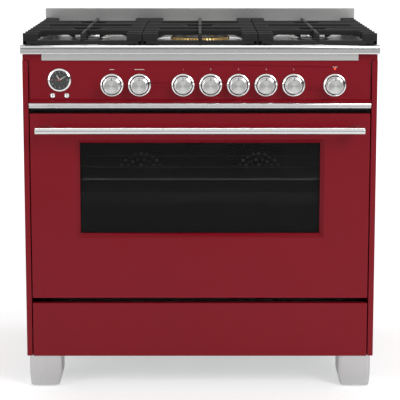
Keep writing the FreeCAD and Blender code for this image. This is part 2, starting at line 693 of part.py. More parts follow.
def corner_burners():
    """Four sealed burners: a cup through the hob, a slotted head and an enamelled cap."""
    cups, heads, caps = [], [], []
    for name, x, y in BURNERS:
        cups.append(turned(f"cup_{name}", UPWARD, (x, y, "hob_z"), [
            (0, "-cup_depth"),
            ("corner_cup", "-cup_depth"),
            ("corner_cup", 0),
            ("corner_flange", 0),
            ("corner_flange - flange_thick", "flange_thick"),
            (0, "flange_thick"),
        ]))
        base = turned(f"head_{name}", UPWARD, (x, y, "hob_z + flange_thick"), [
            (0, 0),
            ("corner_head", 0),
            ("corner_head - 2", "head_height"),
            (0, "head_height"),
        ])
        low = "hob_z + flange_thick + head_height / 3"
        heads.append(cut(f"head_cut_{name}", base, *slots(
            f"slot_{name}", x, y, "corner_head", 24, low, "hob_z + flange_thick + head_height + 1")))
        caps.append(turned(f"cap_{name}", UPWARD, (x, y, "hob_z + flange_thick + head_height"), [
            (0, 0),
            ("corner_cap", 0),
            ("corner_cap", "cap_height / 3"),
            ("corner_cap - cap_height / 2", "cap_height"),
            (0, "cap_height"),
        ]))
    return cups, heads, caps


def wok_burner():
    """The wide centre burner: two brass rings of flame under their caps."""
    at = (0, "wok_y", "hob_z")
    cup = turned("cup_wok", UPWARD, at, [
        (0, "-cup_depth"),
        ("wok_cup", "-cup_depth"),
        ("wok_cup", 0),
        ("wok_flange", 0),
        ("wok_flange - flange_thick", "flange_thick"),
        (0, "flange_thick"),
    ])
    top = (0, "wok_y", "hob_z + flange_thick")
    ring = turned("wok_ring_blank", UPWARD, top, [
        ("wok_ring_inner", 0),
        ("wok_ring", 0),
        ("wok_ring - 2", "head_height"),
        ("wok_ring_inner", "head_height"),
    ])
    low = "hob_z + flange_thick + head_height / 3"
    high = "hob_z + flange_thick + head_height + 1"
    slotted = cut("wok_ring_cut", ring, *slots("slot_wok", "0", "wok_y", "wok_ring", 48, low, high))
    core = turned("wok_core_blank", UPWARD, top, [
        (0, 0),
        ("wok_core", 0),
        ("wok_core - 2", "head_height"),
        (0, "head_height"),
    ])
    inner = cut("wok_core_cut", core, *slots("slot_core", "0", "wok_y", "wok_core", 18, low, high))
    node("wok_burner_rings", group("wok_rings", slotted, inner))
    seat = (0, "wok_y", "hob_z + flange_thick + head_height")
    ring_cap = turned("cap_wok_ring", UPWARD, seat, [
        ("wok_ring_inner - 3", 0),
        ("wok_ring - 4", 0),
        ("wok_ring - 6", "cap_height * 0.7"),
        ("wok_ring_inner", "cap_height * 0.7"),
    ])
    core_cap = turned("cap_wok_core", UPWARD, seat, [
        (0, 0),
        ("wok_core", 0),
        ("wok_core", "cap_height / 3"),
        ("wok_core - 3", "cap_height * 0.7"),
        (0, "cap_height * 0.7"),
    ])
    return cup, [ring_cap, core_cap]


def burners():
    cups, heads, caps = corner_burners()
    cup, wok_caps = wok_burner()
    node("burner_bases", group("bases", *cups, cup, *heads))
    node("burner_caps", group("caps", *caps, *wok_caps))


def grate(name, x_low, x_high, burner_ys):
    """A cast grate: a low frame on four feet that carries blade-like bars and fingers."""
    middle = f"(({x_low}) + ({x_high})) / 2"
    half_bar = "grate_bar / 2"
    y_end = "grate_y + grate_span"
    y_low, y_high = "grate_front", f"{y_end} + {half_bar}"
    top = ("bar_low", "grate_top")
    outer = block(f"{name}_frame_outer", (x_low, x_high), (y_low, y_high), ("grate_low", "bar_low"))
    inner = block(f"{name}_frame_inner", (f"{x_low} + grate_bar", f"{x_high} - grate_bar"),
                  (f"{y_low} + grate_bar", f"{y_high} - grate_bar"), ("grate_low - 1", "bar_low + 1"))
    pieces = [cut(f"{name}_frame", outer, inner)]
    for row in range(11):
        y = f"(grate_y + {row} * bar_pitch)"
        span = (f"{y} - {half_bar}", f"{y} + {half_bar}")
        if row % 2 == 0 and 0 < row < 10:
            pieces.append(block(f"{name}_bar_{row}", (x_low, x_high), span, top))
            continue
        reach = f"({middle}) - ({x_low}) - finger_clear" if row in burner_ys else "stub_length"
        pieces.append(block(f"{name}_stub_l{row}", (x_low, f"{x_low} + {reach}"), span, top))
        pieces.append(block(f"{name}_stub_r{row}", (f"{x_high} - ({reach})", x_high), span, top))
    stops = [y_low]
    for row in burner_ys:
        burner_y = f"grate_y + {row} * bar_pitch"
        stops += [f"{burner_y} - finger_clear", f"{burner_y} + finger_clear"]
    stops.append(y_high)
    for i in range(0, len(stops), 2):
        pieces.append(block(f"{name}_spine_{i}", (f"{middle} - {half_bar}", f"{middle} + {half_bar}"),
                            (stops[i], stops[i + 1]), top))
    for i, x in enumerate((f"{x_low} + grate_foot_set", f"{x_high} - grate_foot_set - grate_foot")):
        for j, y in enumerate((f"{y_low} + grate_foot_set", f"{y_high} - grate_foot_set - grate_foot")):
            pieces.append(block(f"{name}_foot_{i}{j}", (x, f"{x} + grate_foot"), (y, f"{y} + grate_foot"),
                                ("hob_z", "bar_low")))
            edge = (x_low, f"{x} + grate_foot") if i == 0 else (x, x_high)
            rim = (y_low, f"{y} + grate_foot") if j == 0 else (y, y_high)
            pieces.append(block(f"{name}_gusset_{i}{j}", edge, rim, ("grate_low", "bar_low")))
    node(name, fuse(f"{name}_fused", *pieces))


def grates():
    grate("grate_left", "-side_grate_outer", "-side_grate_inner", (3, 7))
    grate("grate_centre", "-centre_grate / 2", "centre_grate / 2", (5,))
    grate("grate_right", "side_grate_inner", "side_grate_outer", (3, 7))


# ---------------------------------------------------------------- control panel

BURNER_KNOBS = [f"burner_knob_x + {i} * burner_knob_pitch" for i in range(5)]
OVEN_KNOBS = [
    ("function_knob", "oven_knob_x"),
    ("temperature_knob", "oven_knob_x + oven_knob_pitch"),
    ("clean_knob", "clean_knob_x"),
]


def fascia():
    """The folded control panel with its sloping lip, drilled for dials, clock, buttons and lamp."""
    lip_y = "fascia_y - lip_reach"
    sheet_profile = extruded("fascia_fold", "YZ", ("-fascia_half", "fascia_half"), [
        ("fascia_y + fascia_flange", "side_top"),
        ("fascia_y", "side_top"),
        ("fascia_y", "fascia_bottom"),
        (lip_y, "lip_z"),
        (lip_y, "trim_top"),
        ("fascia_y", "trim_top"),
        ("fascia_y", "trim_top + plate"),
        (f"{lip_y} + 2 * plate", "trim_top + plate"),
        ("fascia_y + plate", "fascia_bottom - plate / 2"),
        ("fascia_y + plate", "side_top - plate"),
        ("fascia_y + fascia_flange", "side_top - plate"),
    ])
    through = ("fascia_y - 1", "fascia_y + plate + 1")
    holes = []
    for i, x in enumerate(BURNER_KNOBS + [x for _, x in OVEN_KNOBS]):
        holes.append(rod(f"fascia_spindle_{i}", "y", (x, "knob_height"), through, "spindle_hole"))
    holes.append(rod("fascia_clock", "y", ("clock_x", "clock_height"), through, "clock_radius + fit_gap"))
    for i, side in enumerate((-1, 1)):
        x = f"clock_x + {side} * button_spread / 2"
        holes.append(rod(f"fascia_button_{i}", "y", (x, "button_height"), through, "button_radius + fit_gap"))
    holes.append(rod("fascia_lamp", "y", ("clean_knob_x", "lamp_height"), through, "lamp_radius"))
    node("control_fascia", cut("fascia_cut", sheet_profile, *holes))

    ends = ("-fascia_half", "fascia_half")
    face = "fascia_y - lip_reach"
    core = block("trim_core", ends, (f"{face} + trim_reach / 2", f"{face} + trim_reach / 2 + trim_depth"),
                 ("trim_bottom", "trim_top"))
    upper = rod("trim_upper", "x", (f"{face}", "trim_top - trim_bead - plate / 2"), ends, "trim_bead")
    lower = rod("trim_lower", "x", (f"{face} + plate", "trim_bottom + trim_bead_small"), ends,
                "trim_bead_small")
    node("fascia_trim", fuse("trim_fused", core, upper, lower))


def bezels():
    """Chrome rings on the fascia round each dial and round the clock."""
    rings = []
    for i, x in enumerate(BURNER_KNOBS + [x for _, x in OVEN_KNOBS]):
        rings.append(turned(f"bezel_{i}", FORWARD, (x, "fascia_y", "knob_height"), [
            ("bezel_inner", 0),
            ("bezel_outer", 0),
            ("bezel_outer", "bezel_depth - bezel_chamfer"),
            ("bezel_outer - bezel_chamfer", "bezel_depth"),
            ("bezel_inner", "bezel_depth"),
        ]))
    rings.append(turned("bezel_clock", FORWARD, ("clock_x", "fascia_y", "clock_height"), [
        ("clock_window", 0),
        ("clock_bezel", 0),
        ("clock_bezel", "bezel_depth - bezel_chamfer"),
        ("clock_bezel - bezel_chamfer", "bezel_depth"),
        ("clock_window", "bezel_depth"),
    ]))
    node("dial_bezels", group("bezels", *rings))


def knob(name, x):
    """A metal knob with a pointer notch, and the spindle that it sits on."""
    end = "knob_standoff + knob_length"
    blank = turned(f"{name}_blank", FORWARD, (x, "fascia_y", "knob_height"), [
        (0, "knob_standoff + spindle_grip"),
        ("spindle_radius + running_gap / 2", "knob_standoff + spindle_grip"),
        ("spindle_radius + running_gap / 2", "knob_standoff"),
        ("knob_radius", "knob_standoff"),
        ("knob_radius", f"{end} - knob_chamfer"),
        ("knob_face", end),
        (0, end),
    ])
    notch = block(f"{name}_notch", (f"{x} - knob_notch / 2", f"{x} + knob_notch / 2"),
                  (f"fascia_y - ({end}) - 1", f"fascia_y - ({end}) + knob_chamfer"),
                  ("knob_height + knob_radius - knob_notch_length", "knob_height + knob_radius + 1"))
    body = cut(f"{name}_body", blank, notch)
    spindle = rod(f"{name}_spindle", "y", (x, "knob_height"),
                  ("fascia_y - knob_standoff - spindle_grip", "fascia_y + spindle_reach"), "spindle_radius")
    node(name, group(f"{name}_set", body, spindle))


def gas_tap(index, x):
    """A tap body with its chamber, and the plug that turns inside it, keyed to the spindle."""
    half = "tap_side / 2"
    axis = (x, "knob_height")
    body = block(f"tap_body_{index}", (f"{x} - {half}", f"{x} + {half}"), ("tap_y", "tap_back"),
                 (f"knob_height - {half}", f"knob_height + {half}"))
    chamber = rod(f"tap_chamber_{index}", "y", axis,
                  ("plug_y - fit_gap", "plug_y + plug_length + fit_gap"), "plug_radius + running_gap")
    throat = rod(f"tap_throat_{index}", "y", axis, ("tap_y - 1", "plug_y"), "spindle_radius + fit_gap")
    plug = rod(f"tap_plug_blank_{index}", "y", axis, ("plug_y", "plug_y + plug_length"), "plug_radius")
    socket = rod(f"tap_socket_{index}", "y", axis,
                 ("plug_y - 1", "fascia_y + spindle_reach + press_travel + 1"),
                 "spindle_radius + running_gap")
    node(f"tap_plug_{index + 1}", cut(f"tap_plug_cut_{index}", plug, socket))
    return cut(f"tap_done_{index}", body, chamber, throat)


def oven_switch(name, x):
    """The rotary switch behind an oven knob."""
    half = "switch_side / 2"
    body = block(f"{name}_switch", (f"{x} - {half}", f"{x} + {half}"), ("tap_y", "tap_y + switch_depth"),
                 (f"knob_height - {half}", f"knob_height + {half}"))
    bore = rod(f"{name}_bore", "y", (x, "knob_height"), ("tap_y - 1", "fascia_y + spindle_reach + fit_gap"),
               "spindle_radius + running_gap")
    return cut(f"{name}_switch_cut", body, bore)


def indicator_lamp():
    """The lens above the cleaning knob and the holder behind it."""
    lens = rod("lamp_lens", "y", ("clean_knob_x", "lamp_height"), ("fascia_y - plate", "fascia_y + plate"),
               "lamp_radius - running_gap")
    collar = rod("lamp_collar", "y", ("clean_knob_x", "lamp_height"),
                 ("fascia_y + plate", "fascia_y + lamp_holder"), "lamp_radius + plate")
    return fuse("lamp_fused", lens, collar)


def controls():
    taps = []
    for i, x in enumerate(BURNER_KNOBS):
        knob(f"burner_knob_{i + 1}", x)
        taps.append(gas_tap(i, x))
    node("gas_taps", group("taps", *taps))
    switches = []
    for name, x in OVEN_KNOBS:
        knob(name, x)
        switches.append(oven_switch(name, x))
    node("oven_switches", group("switches", *switches, indicator_lamp()))


def hand(name, length, layer):
    """A clock hand: a boss round the arbor and a blade that points up."""
    front = f"(fascia_y - {layer} * hand_thick * 1.5 - hand_thick)"
    span = (front, f"{front} + hand_thick")
    axis = ("clock_x", "clock_height")
    boss = rod(f"{name}_boss", "y", axis, span, "hand_width")
    blade = block(f"{name}_blade", ("clock_x - hand_width / 2", "clock_x + hand_width / 2"), span,
                  ("clock_height", f"clock_height + {length}"))
    bore = rod(f"{name}_bore", "y", axis, (f"{front} - 1", f"{front} + hand_thick + 1"),
               "arbor_radius + running_gap")
    node(name, cut(f"{name}_cut", fuse(f"{name}_fused", boss, blade), bore))


def clock():
    axis = ("clock_x", "clock_height")
    housing = rod("clock_housing", "y", axis, ("fascia_y", "fascia_y + clock_depth"), "clock_radius")
    arbor = rod("clock_arbor", "y", axis, ("fascia_y - 5 * hand_thick", "fascia_y + 1"), "arbor_radius")
    node("clock_face", fuse("clock_fused", housing, arbor))
    hand("hour_hand", "hour_length", 0)
    hand("minute_hand", "minute_length", 1)
    for side, name in ((-1, "timer_button_left"), (1, "timer_button_right")):
        x = f"clock_x + {side} * button_spread / 2"
        node(name, turned(f"{name}_turned", FORWARD, (x, "fascia_y", "button_height"), [
            (0, "-plate - fit_gap - 3 * button_travel"),
            ("button_radius / 2", "-plate - fit_gap - 3 * button_travel"),
            ("button_radius / 2", "-plate - fit_gap - button_travel"),
            ("button_flange", "-plate - fit_gap - button_travel"),
            ("button_flange", "-plate - fit_gap"),
            ("button_radius", "-plate - fit_gap"),
            ("button_radius", "button_reach - 1"),
            ("button_radius - 1", "button_reach"),
            (0, "button_reach"),
        ]))


# ---------------------------------------------------------------- gas supply


def bent_pipe(name, points, radius, bend):
    """A round pipe along straight runs joined by tangent arcs, as one swept solid."""
    edges, start = [], points[0]
    for before, corner, after in zip(points, points[1:], points[2:]):
        back, ahead = (before - corner).normalize(), (after - corner).normalize()
        entry, leave = corner + back * bend, corner + ahead * bend
        middle = corner + (back + ahead) * bend - (back + ahead).normalize() * bend
        edges.append(Part.LineSegment(start, entry).toShape())
        edges.append(Part.Arc(entry, middle, leave).toShape())
        start = leave
    edges.append(Part.LineSegment(start, points[-1]).toShape())
    path = Part.Wire(edges)
    section = Part.Wire([Part.Circle(points[0], points[1] - points[0], radius).toShape()])
    pipe = doc.addObject("Part::Feature", name)
    pipe.Shape = path.makePipeShell([section], True, False)
    return pipe


def burner_tubes():
    """Five aluminium tubes from the taps to the burner cups, laid so that none cross."""
    z_tap = value("knob_height + tap_side / 2")
    z = value("tube_height")
    y_tap = value("tap_y + tap_depth / 2")
    bend, radius = value("tube_bend"), value("tube_radius")
    near, mid, far = (y_tap + n * value("tube_bend") * 3 for n in (1, 1.6, 2.4))
    side, gap = value("burner_x"), value("fit_gap")
    y_front, y_rear = value("front_burner_y"), value("rear_burner_y")
    cup, wok = value("corner_cup") + gap, value("wok_cup") + gap
    lane = side - value("corner_cup") - 2 * bend
    xs = [value(x) for x in BURNER_KNOBS]

    def start(i):
        return [Vector(xs[i], y_tap, z_tap), Vector(xs[i], y_tap, z)]

    runs = [
        [Vector(xs[0], near, z), Vector(-side, near, z), Vector(-side, y_front - cup, z)],
        [Vector(xs[1], mid, z), Vector(-lane, mid, z), Vector(-lane, y_rear, z),
         Vector(-side + cup, y_rear, z)],
        [Vector(xs[2], far, z), Vector(0, far, z), Vector(0, value("wok_y") - wok, z)],
        [Vector(xs[3], mid, z), Vector(lane, mid, z), Vector(lane, y_rear, z),
         Vector(side - cup, y_rear, z)],
        [Vector(xs[4], near, z), Vector(side, near, z), Vector(side, y_front - cup, z)],
    ]
    pipes = [bent_pipe(f"burner_tube_{i}", start(i) + run, radius, bend) for i, run in enumerate(runs)]
    return pipes


def gas_pipework():
    """A square steel tube behind the taps, with the feed pipe and the threaded inlet at the back."""
    half = "manifold_side / 2"
    ends = ("burner_knob_x - manifold_tail", "feed_x + manifold_side")
    outer = block("manifold_outer", ends, (f"manifold_y - {half}", f"manifold_y + {half}"),
                  (f"knob_height - {half}", f"knob_height + {half}"))
    inner = block("manifold_inner", (f"{ends[0]} + manifold_wall", f"{ends[1]} - manifold_wall"),
                  (f"manifold_y - {half} + manifold_wall", f"manifold_y + {half} - manifold_wall"),
                  (f"knob_height - {half} + manifold_wall", f"knob_height + {half} - manifold_wall"))
    tube = cut("manifold_tube", outer, inner)
    neck = "rear_y - rear_set - plate - inlet_length"
    feed = rod("manifold_feed", "y", ("feed_x", "knob_height"),
               (f"manifold_y + {half} - manifold_wall / 2", neck), "feed_radius")
    inlet = rod("manifold_inlet", "y", ("feed_x", "knob_height"),
                (neck, f"{neck} + inlet_length"), "inlet_radius")
    manifold = fuse("manifold_fused", tube, feed, inlet)
    node("gas_pipework", group("pipework", manifold, *burner_tubes()))


# ---------------------------------------------------------------- oven


def oven_liner():
    """The enamelled cavity with its front frame and the fixed hinge plates."""
    half = "liner_width / 2"
    shell = block("liner_shell", (f"-{half}", half), ("frame_y", "liner_back"),
                  ("liner_bottom", "liner_bottom + liner_height"))
    frame = block("liner_frame", ("-inner_half", "inner_half"), ("frame_y", "frame_y + frame_thick"),
                  ("hinge_z - frame_below", "trim_bottom"))
    pieces = [shell, frame]
    for side in (-1, 1):
        x = f"{side} * hinge_x"
        span = (f"{x} - hinge_plate / 2", f"{x} + hinge_plate / 2")
        pieces.append(block(f"hinge_arm_{side + 1}", span, ("hinge_y", "frame_y"),
                            ("hinge_z - hinge_radius", "hinge_z + hinge_radius")))
        pieces.append(rod(f"hinge_eye_{side + 1}", "x", ("hinge_y", "hinge_z"), span, "hinge_radius"))
    hollow = block("liner_hollow", ("-cavity_half", "cavity_half"), ("frame_y - 1", "cavity_back"),
                   ("cavity_bottom", "cavity_top"))
    bores = []
    for side in (-1, 1):
        x = f"{side} * hinge_x"
        bores.append(rod(f"hinge_bore_{side + 1}", "x", ("hinge_y", "hinge_z"),
                         (f"{x} - hinge_plate", f"{x} + hinge_plate"), "pin_radius + running_gap"))
        bores.append(rod(f"liner_shaft_{side + 1}", "y", (f"{side} * fan_x", "fan_height"),
                         ("cavity_back - 1", "liner_back + 1"), "fan_shaft + fit_gap"))
    node("oven_liner", cut("liner_cut", fuse("liner_fused", *pieces), hollow, *bores))


def door_seal():
    """A flat woven gasket round the cavity's mouth."""
    inner, outer = "cavity_half + seal_margin", "cavity_half + seal_margin + seal_width"
    low, high = "cavity_bottom - seal_margin", "cavity_top + seal_margin"
    ring = block("seal_outer", (f"-({outer})", outer), ("door_back + fit_gap", "frame_y"),
                 (f"{low} - seal_width", f"{high} + seal_width"))
    hole = block("seal_inner", (f"-({inner})", inner), ("door_back - 1", "frame_y + 1"), (low, high))
    node("door_seal", cut("seal_cut", ring, hole))


def fan_baffle():
    """The panel in front of the fans, with a rosette of air holes at each."""
    panel = block("baffle_panel", ("-cavity_half", "cavity_half"), ("baffle_y", "baffle_y + liner_wall"),
                  ("cavity_bottom", "cavity_top"))
    covers = [rod(f"baffle_cover_{side + 1}", "y", (f"{side} * fan_x", "fan_height"),
                  ("baffle_y - cover_rise", "baffle_y"), "cover_radius") for side in (-1, 1)]
    through = ("baffle_y - cover_rise - 1", "baffle_y + liner_wall + 1")
    holes = []
    for side in (-1, 1):
        for ring, count in ((0, 1), (1, 6), (2, 12), (3, 18), (4, 24)):
            for i in range(count):
                angle = 360 * i / count
                x = f"{side} * fan_x + {ring} * baffle_hole * 3.2 * cos({angle} deg)"
                z = f"fan_height + {ring} * baffle_hole * 3.2 * sin({angle} deg)"
                holes.append(rod(f"baffle_hole_{side + 1}_{ring}_{i}", "y", (x, z), through, "baffle_hole"))
    node("fan_baffle", cut("baffle_cut", fuse("baffle_fused", panel, *covers), *holes))


def fans():
    """Two centrifugal fans on motor shafts that pass through the liner's back."""
    motors = []
    middle = "baffle_y + liner_wall + (baffle_set - liner_wall) / 2"
    blades_y = (f"{middle} - fan_depth / 2", f"{middle} + fan_depth / 2")
    for side, name in ((-1, "fan_left"), (1, "fan_right")):
        x = f"{side} * fan_x"
        axis = (x, "fan_height")
        disc_front = f"{blades_y[1]} - vane_thick"
        disc = rod(f"{name}_disc", "y", axis, (disc_front, blades_y[1]), "fan_radius")
        hub = rod(f"{name}_hub", "y", axis, blades_y, "fan_hub")
        vanes = []
        for i in range(8):
            vane = doc.addObject("Part::Box", f"{name}_vane_{i}")
            bind(vane, Length="fan_radius - fan_collar", Width="fan_depth - vane_thick / 2",
                 Height="vane_thick")
            turn = Rotation(Vector(0, 1, 0), -45 * i)
            vane.Placement = Placement(Vector(), turn)
            angle = 45 * i
            root = "(fan_collar - vane_thick)"
            put(vane, f"{x} + {root} * cos({angle} deg)", blades_y[0],
                f"fan_height + {root} * sin({angle} deg)")
            vanes.append(vane)
        collar = rod(f"{name}_collar", "y", axis, (blades_y[0], disc_front), "fan_collar")
        solid = fuse(f"{name}_fused", disc, hub, collar, *vanes)
        bore = rod(f"{name}_bore", "y", axis, (f"{blades_y[0]} + 3", f"{blades_y[1]} + 1"),
                   "fan_shaft + running_gap")
        node(name, cut(f"{name}_cut", solid, bore))
        can = rod(f"motor_can_{side + 1}", "y", axis, ("liner_back", "liner_back + motor_depth"),
                  "motor_radius")
        shaft = rod(f"motor_shaft_{side + 1}", "y", axis, (f"{blades_y[0]} + 4", "liner_back + 1"),
                    "fan_shaft")
        motors.append(fuse(f"motor_{side + 1}", can, shaft))
    node("fan_motors", group("motors", *motors))


def heating_elements():
    """Sheathed elements: a ring round each fan, a broil loop above and a bake loop below."""
    solids = []
    ring_y = "baffle_y + liner_wall + element_radius + (baffle_set - liner_wall) / 2 - element_radius"
    for side in (-1, 1):
        ring = doc.addObject("Part::Torus", f"ring_element_{side + 1}")
        ring.Placement = Placement(Vector(), ALONG["y"])
        put(ring, f"{side} * fan_x", ring_y, "fan_height")
        bind(ring, Radius1="ring_radius", Radius2="element_radius")
        stalk = rod(f"ring_stalk_{side + 1}", "y", (f"{side} * fan_x", "fan_height + ring_radius"),
                    (ring_y, "cavity_back"), "element_radius * 0.8")
        solids.append(fuse(f"ring_set_{side + 1}", ring, stalk))
    radius, bend = value("element_radius"), value("tube_bend")
    half = value("broil_width") / 2
    back = value("baffle_y")
    loops = [
        ("broil", "cavity_top - broil_drop", "cavity_top", "baffle_y"),
        ("bake", "liner_bottom - bake_drop", "liner_bottom", "liner_back"),
    ]
    for name, level, carrier, rear_end in loops:
        z, rear = value(level), value(rear_end)
        front = back - value("broil_depth") - 4 * bend
        points = [Vector(-half, rear, z), Vector(-half, front, z), Vector(-half / 3, front, z),
                  Vector(-half / 3, back - 4 * bend, z), Vector(half / 3, back - 4 * bend, z),
                  Vector(half / 3, front, z), Vector(half, front, z), Vector(half, rear, z)]
        loop = bent_pipe(f"{name}_loop", points, radius, bend)
        hangers = []
        for i, side in enumerate((-1, 1)):
            x = f"{side} * broil_width / 2"
            y = "baffle_y - broil_depth / 2"
            hangers.append(block(f"{name}_hanger_{i}", (f"{x} - hanger_thick / 2", f"{x} + hanger_thick / 2"),
                                 (f"{y} - hanger_width / 2", f"{y} + hanger_width / 2"), (level, carrier)))
        solids.append(fuse(f"{name}_element", loop, *hangers))
    node("heating_elements", group("elements", *solids))


RACK_WIRES = 20


def rack(name, height):
    """A wire shelf: two side rods, cross rods and closely spaced wires, with a raised rear stop."""
    half = "rack_half"
    span_y = ("rack_front", "rack_back")
    z_wire = f"{height} + cross_radius + wire_radius / 2"
    across = (f"-{half} + rod_radius", f"{half} - rod_radius")
    pieces = []
    for side in (-1, 1):
        pieces.append(rod(f"{name}_side_{side + 1}", "y", (f"{side} * ({half} - rod_radius)", height),
                          span_y, "rod_radius"))
    rows = ("rack_front + rod_radius", "(rack_front + rack_back) / 2", "rack_back - rod_radius")
    for i, y in enumerate(rows):
        pieces.append(rod(f"{name}_cross_{i}", "x", (y, height), across, "cross_radius"))
    for i in range(RACK_WIRES):
        x = f"{across[0]} + {i + 1} * ({half} - rod_radius) * 2 / {RACK_WIRES + 1}"
        pieces.append(rod(f"{name}_wire_{i}", "y", (x, z_wire),
                          ("rack_front + 1", "rack_back - 1"), "wire_radius"))
    node(name, fuse(f"{name}_fused", *pieces))


def rack_guides():
    """Wire ladders on the cavity's side walls, with a pair of rods under each shelf."""
    ladders = []
    levels = [
        "lower_rack",
        "(lower_rack + pan_bottom) / 2 + post_inset / 3",
        "pan_bottom + pan_flange_drop",
        "upper_rack",
        "upper_rack + 2 * post_inset",
    ]
    for side in (-1, 1):
        wall = f"{side} * (cavity_half - guide_radius)"
        shelf = f"{side} * (rack_half - rod_radius)"
        pieces = []
        for i, y in enumerate(("rack_front + post_inset", "rack_back - post_inset")):
            pieces.append(rod(f"guide_post_{side + 1}_{i}", "z", (wall, y),
                              ("lower_rack - post_inset", "upper_rack + 3 * post_inset"), "guide_radius"))
            for j, level in enumerate(levels):
                z = f"{level} - rod_radius - guide_radius - fit_gap"
                span = (shelf, wall) if side > 0 else (wall, shelf)
                pieces.append(rod(f"guide_rung_{side + 1}_{i}{j}", "x", (y, z), span, "guide_radius"))
        for j, level in enumerate(levels):
            z = f"{level} - rod_radius - guide_radius - fit_gap"
            pieces.append(rod(f"guide_rail_{side + 1}_{j}", "y", (shelf, z),
                              ("rack_front + rail_inset", "rack_back - rail_inset"), "guide_radius"))
        ladders.append(fuse(f"ladder_{side + 1}", *pieces))
    node("rack_guides", group("ladders", *ladders))


def roasting_pan():
    """A deep enamelled pan whose rim flange rests on the guides."""
    half = "rack_half - rod_radius * 3"
    z = ("pan_bottom", "pan_bottom + pan_height")
    outer = block("pan_outer", (f"-({half})", half), ("rack_front", "rack_back"), z)
    inner = block("pan_inner", (f"-({half}) + pan_wall", f"{half} - pan_wall"),
                  ("rack_front + pan_wall", "rack_back - pan_wall"), ("pan_bottom + pan_wall", f"{z[1]} + 1"))
    shell = cut("pan_shell", outer, inner)
    seat = "pan_bottom + pan_flange_drop - rod_radius"
    flanges = []
    for side in (-1, 1):
        edges = (f"{side} * rack_half", f"{side} * ({half})")
        low, high = edges if side < 0 else edges[::-1]
        flanges.append(block(f"pan_flange_{side + 1}", (low, high), ("rack_front", "rack_back"),
                             (seat, f"{seat} + pan_wall")))
    node("roasting_pan", fuse("pan_fused", shell, *flanges))


# ---------------------------------------------------------------- door


def bevelled(name, margin):
    """A frustum that narrows from the door's face to the window, widened by a margin."""
    wedge = doc.addObject("Part::Wedge", name)
    wide = f"window_half + window_bevel + ({margin})"
    narrow = f"window_half + ({margin})"
    bind(wedge, Xmin=f"-({wide})", Xmax=wide, X2min=f"-({narrow})", X2max=narrow, Ymin="door_y",
         Ymax="glass_y", Zmin=f"window_bottom - window_bevel - ({margin})",
         Zmax=f"window_top + window_bevel + ({margin})",
         Z2min=f"window_bottom - ({margin})", Z2max=f"window_top + ({margin})")
    return wedge


def hinge_notches(prefix):
    """Slots in the door's bottom corners, through which the fixed hinge plates pass."""
    notches = []
    for side in (-1, 1):
        x = f"{side} * hinge_x"
        width = "hinge_plate / 2 + 1.5"
        notches.append(block(f"{prefix}_{side + 1}", (f"{x} - ({width})", f"{x} + {width}"),
                             ("hinge_y - hinge_radius - 1", "door_back + 1"),
                             ("door_bottom - 1", "hinge_z + hinge_radius + 2")))
    return notches


def door_outer_panel():
    """The painted outer panel: a folded tray with a mitred bevel round the window."""
    span = ("door_y", "door_y + door_skin_depth")
    outer = block("door_tray_outer", ("-door_half", "door_half"), span, ("door_bottom", "door_top"))
    inner = block("door_tray_inner", ("-door_half + door_skin", "door_half - door_skin"),
                  ("door_y + door_skin", "door_y + door_skin_depth + 1"),
                  ("door_bottom + door_skin", "door_top - door_skin"))
    tray = cut("door_tray", outer, inner)
    collar = bevelled("door_bevel_solid", "door_skin * 1.4")
    solid = fuse("door_panel_solid", tray, collar)
    node("door_outer_panel", cut("door_panel_cut", solid, bevelled("door_bevel_hole", "0"),
                                 *hinge_notches("outer_notch")))


def door_inner_panel():
    """The enamelled inner panel, a tray that closes the door towards the oven."""
    side = "door_half - inner_side"
    low, high = "door_bottom + inner_side / 2", "door_top - inner_side"
    outer = block("inner_tray_outer", (f"-({side})", side), ("inner_panel_y", "door_back"), (low, high))
    inner = block("inner_tray_inner", (f"-({side}) + door_skin", f"{side} - door_skin"),
                  ("inner_panel_y - 1", "door_back - door_skin"),
                  (f"{low} + door_skin", f"{high} - door_skin"))
    lap = "inner_window_lap"
    opening = block("inner_opening", (f"-(window_half + {lap})", f"window_half + {lap}"),
                    ("door_back - door_skin - 1", "door_back + 1"),
                    (f"window_bottom - {lap}", f"window_top + {lap}"))
    node("door_inner_panel", cut("inner_panel_cut", outer, inner, opening, *hinge_notches("inner_notch")))


def door_glass():
    """The outer pane behind the bevel and the inner pane in the inner panel."""
    def pane(name, lap, y_low):
        return block(name, (f"-(window_half + {lap})", f"window_half + {lap}"),
                     (y_low, f"{y_low} + glass_thick"), (f"window_bottom - {lap}", f"window_top + {lap}"))

    front = pane("pane_outer", "glass_lap", "glass_y")
    rear = pane("pane_inner", "(inner_window_lap + glass_lap)", "door_back - door_skin - glass_thick")
    node("door_glass", group("panes", front, rear))


def door_handle():
    """The bar across the door and the two posts that carry it."""
    half = "handle_length / 2"
    bar = rod("handle_bar", "x", ("handle_y", "handle_z"), (f"-{half}", half), "handle_radius")
    posts = []
    for side in (-1, 1):
        x = f"{side} * post_x"
        post = block(f"handle_post_{side + 1}", (f"{x} - post_width / 2", f"{x} + post_width / 2"),
                     ("handle_y", "door_y"),
                     ("handle_z - post_height / 2", "handle_z + post_height / 2"))
        seat = rod(f"post_seat_{side + 1}", "x", ("handle_y", "handle_z"),
                   (f"{x} - post_width", f"{x} + post_width"), "handle_radius + running_gap")
        posts.append(cut(f"post_{side + 1}", post, seat))
    node("door_handle", group("handle", bar, *posts))


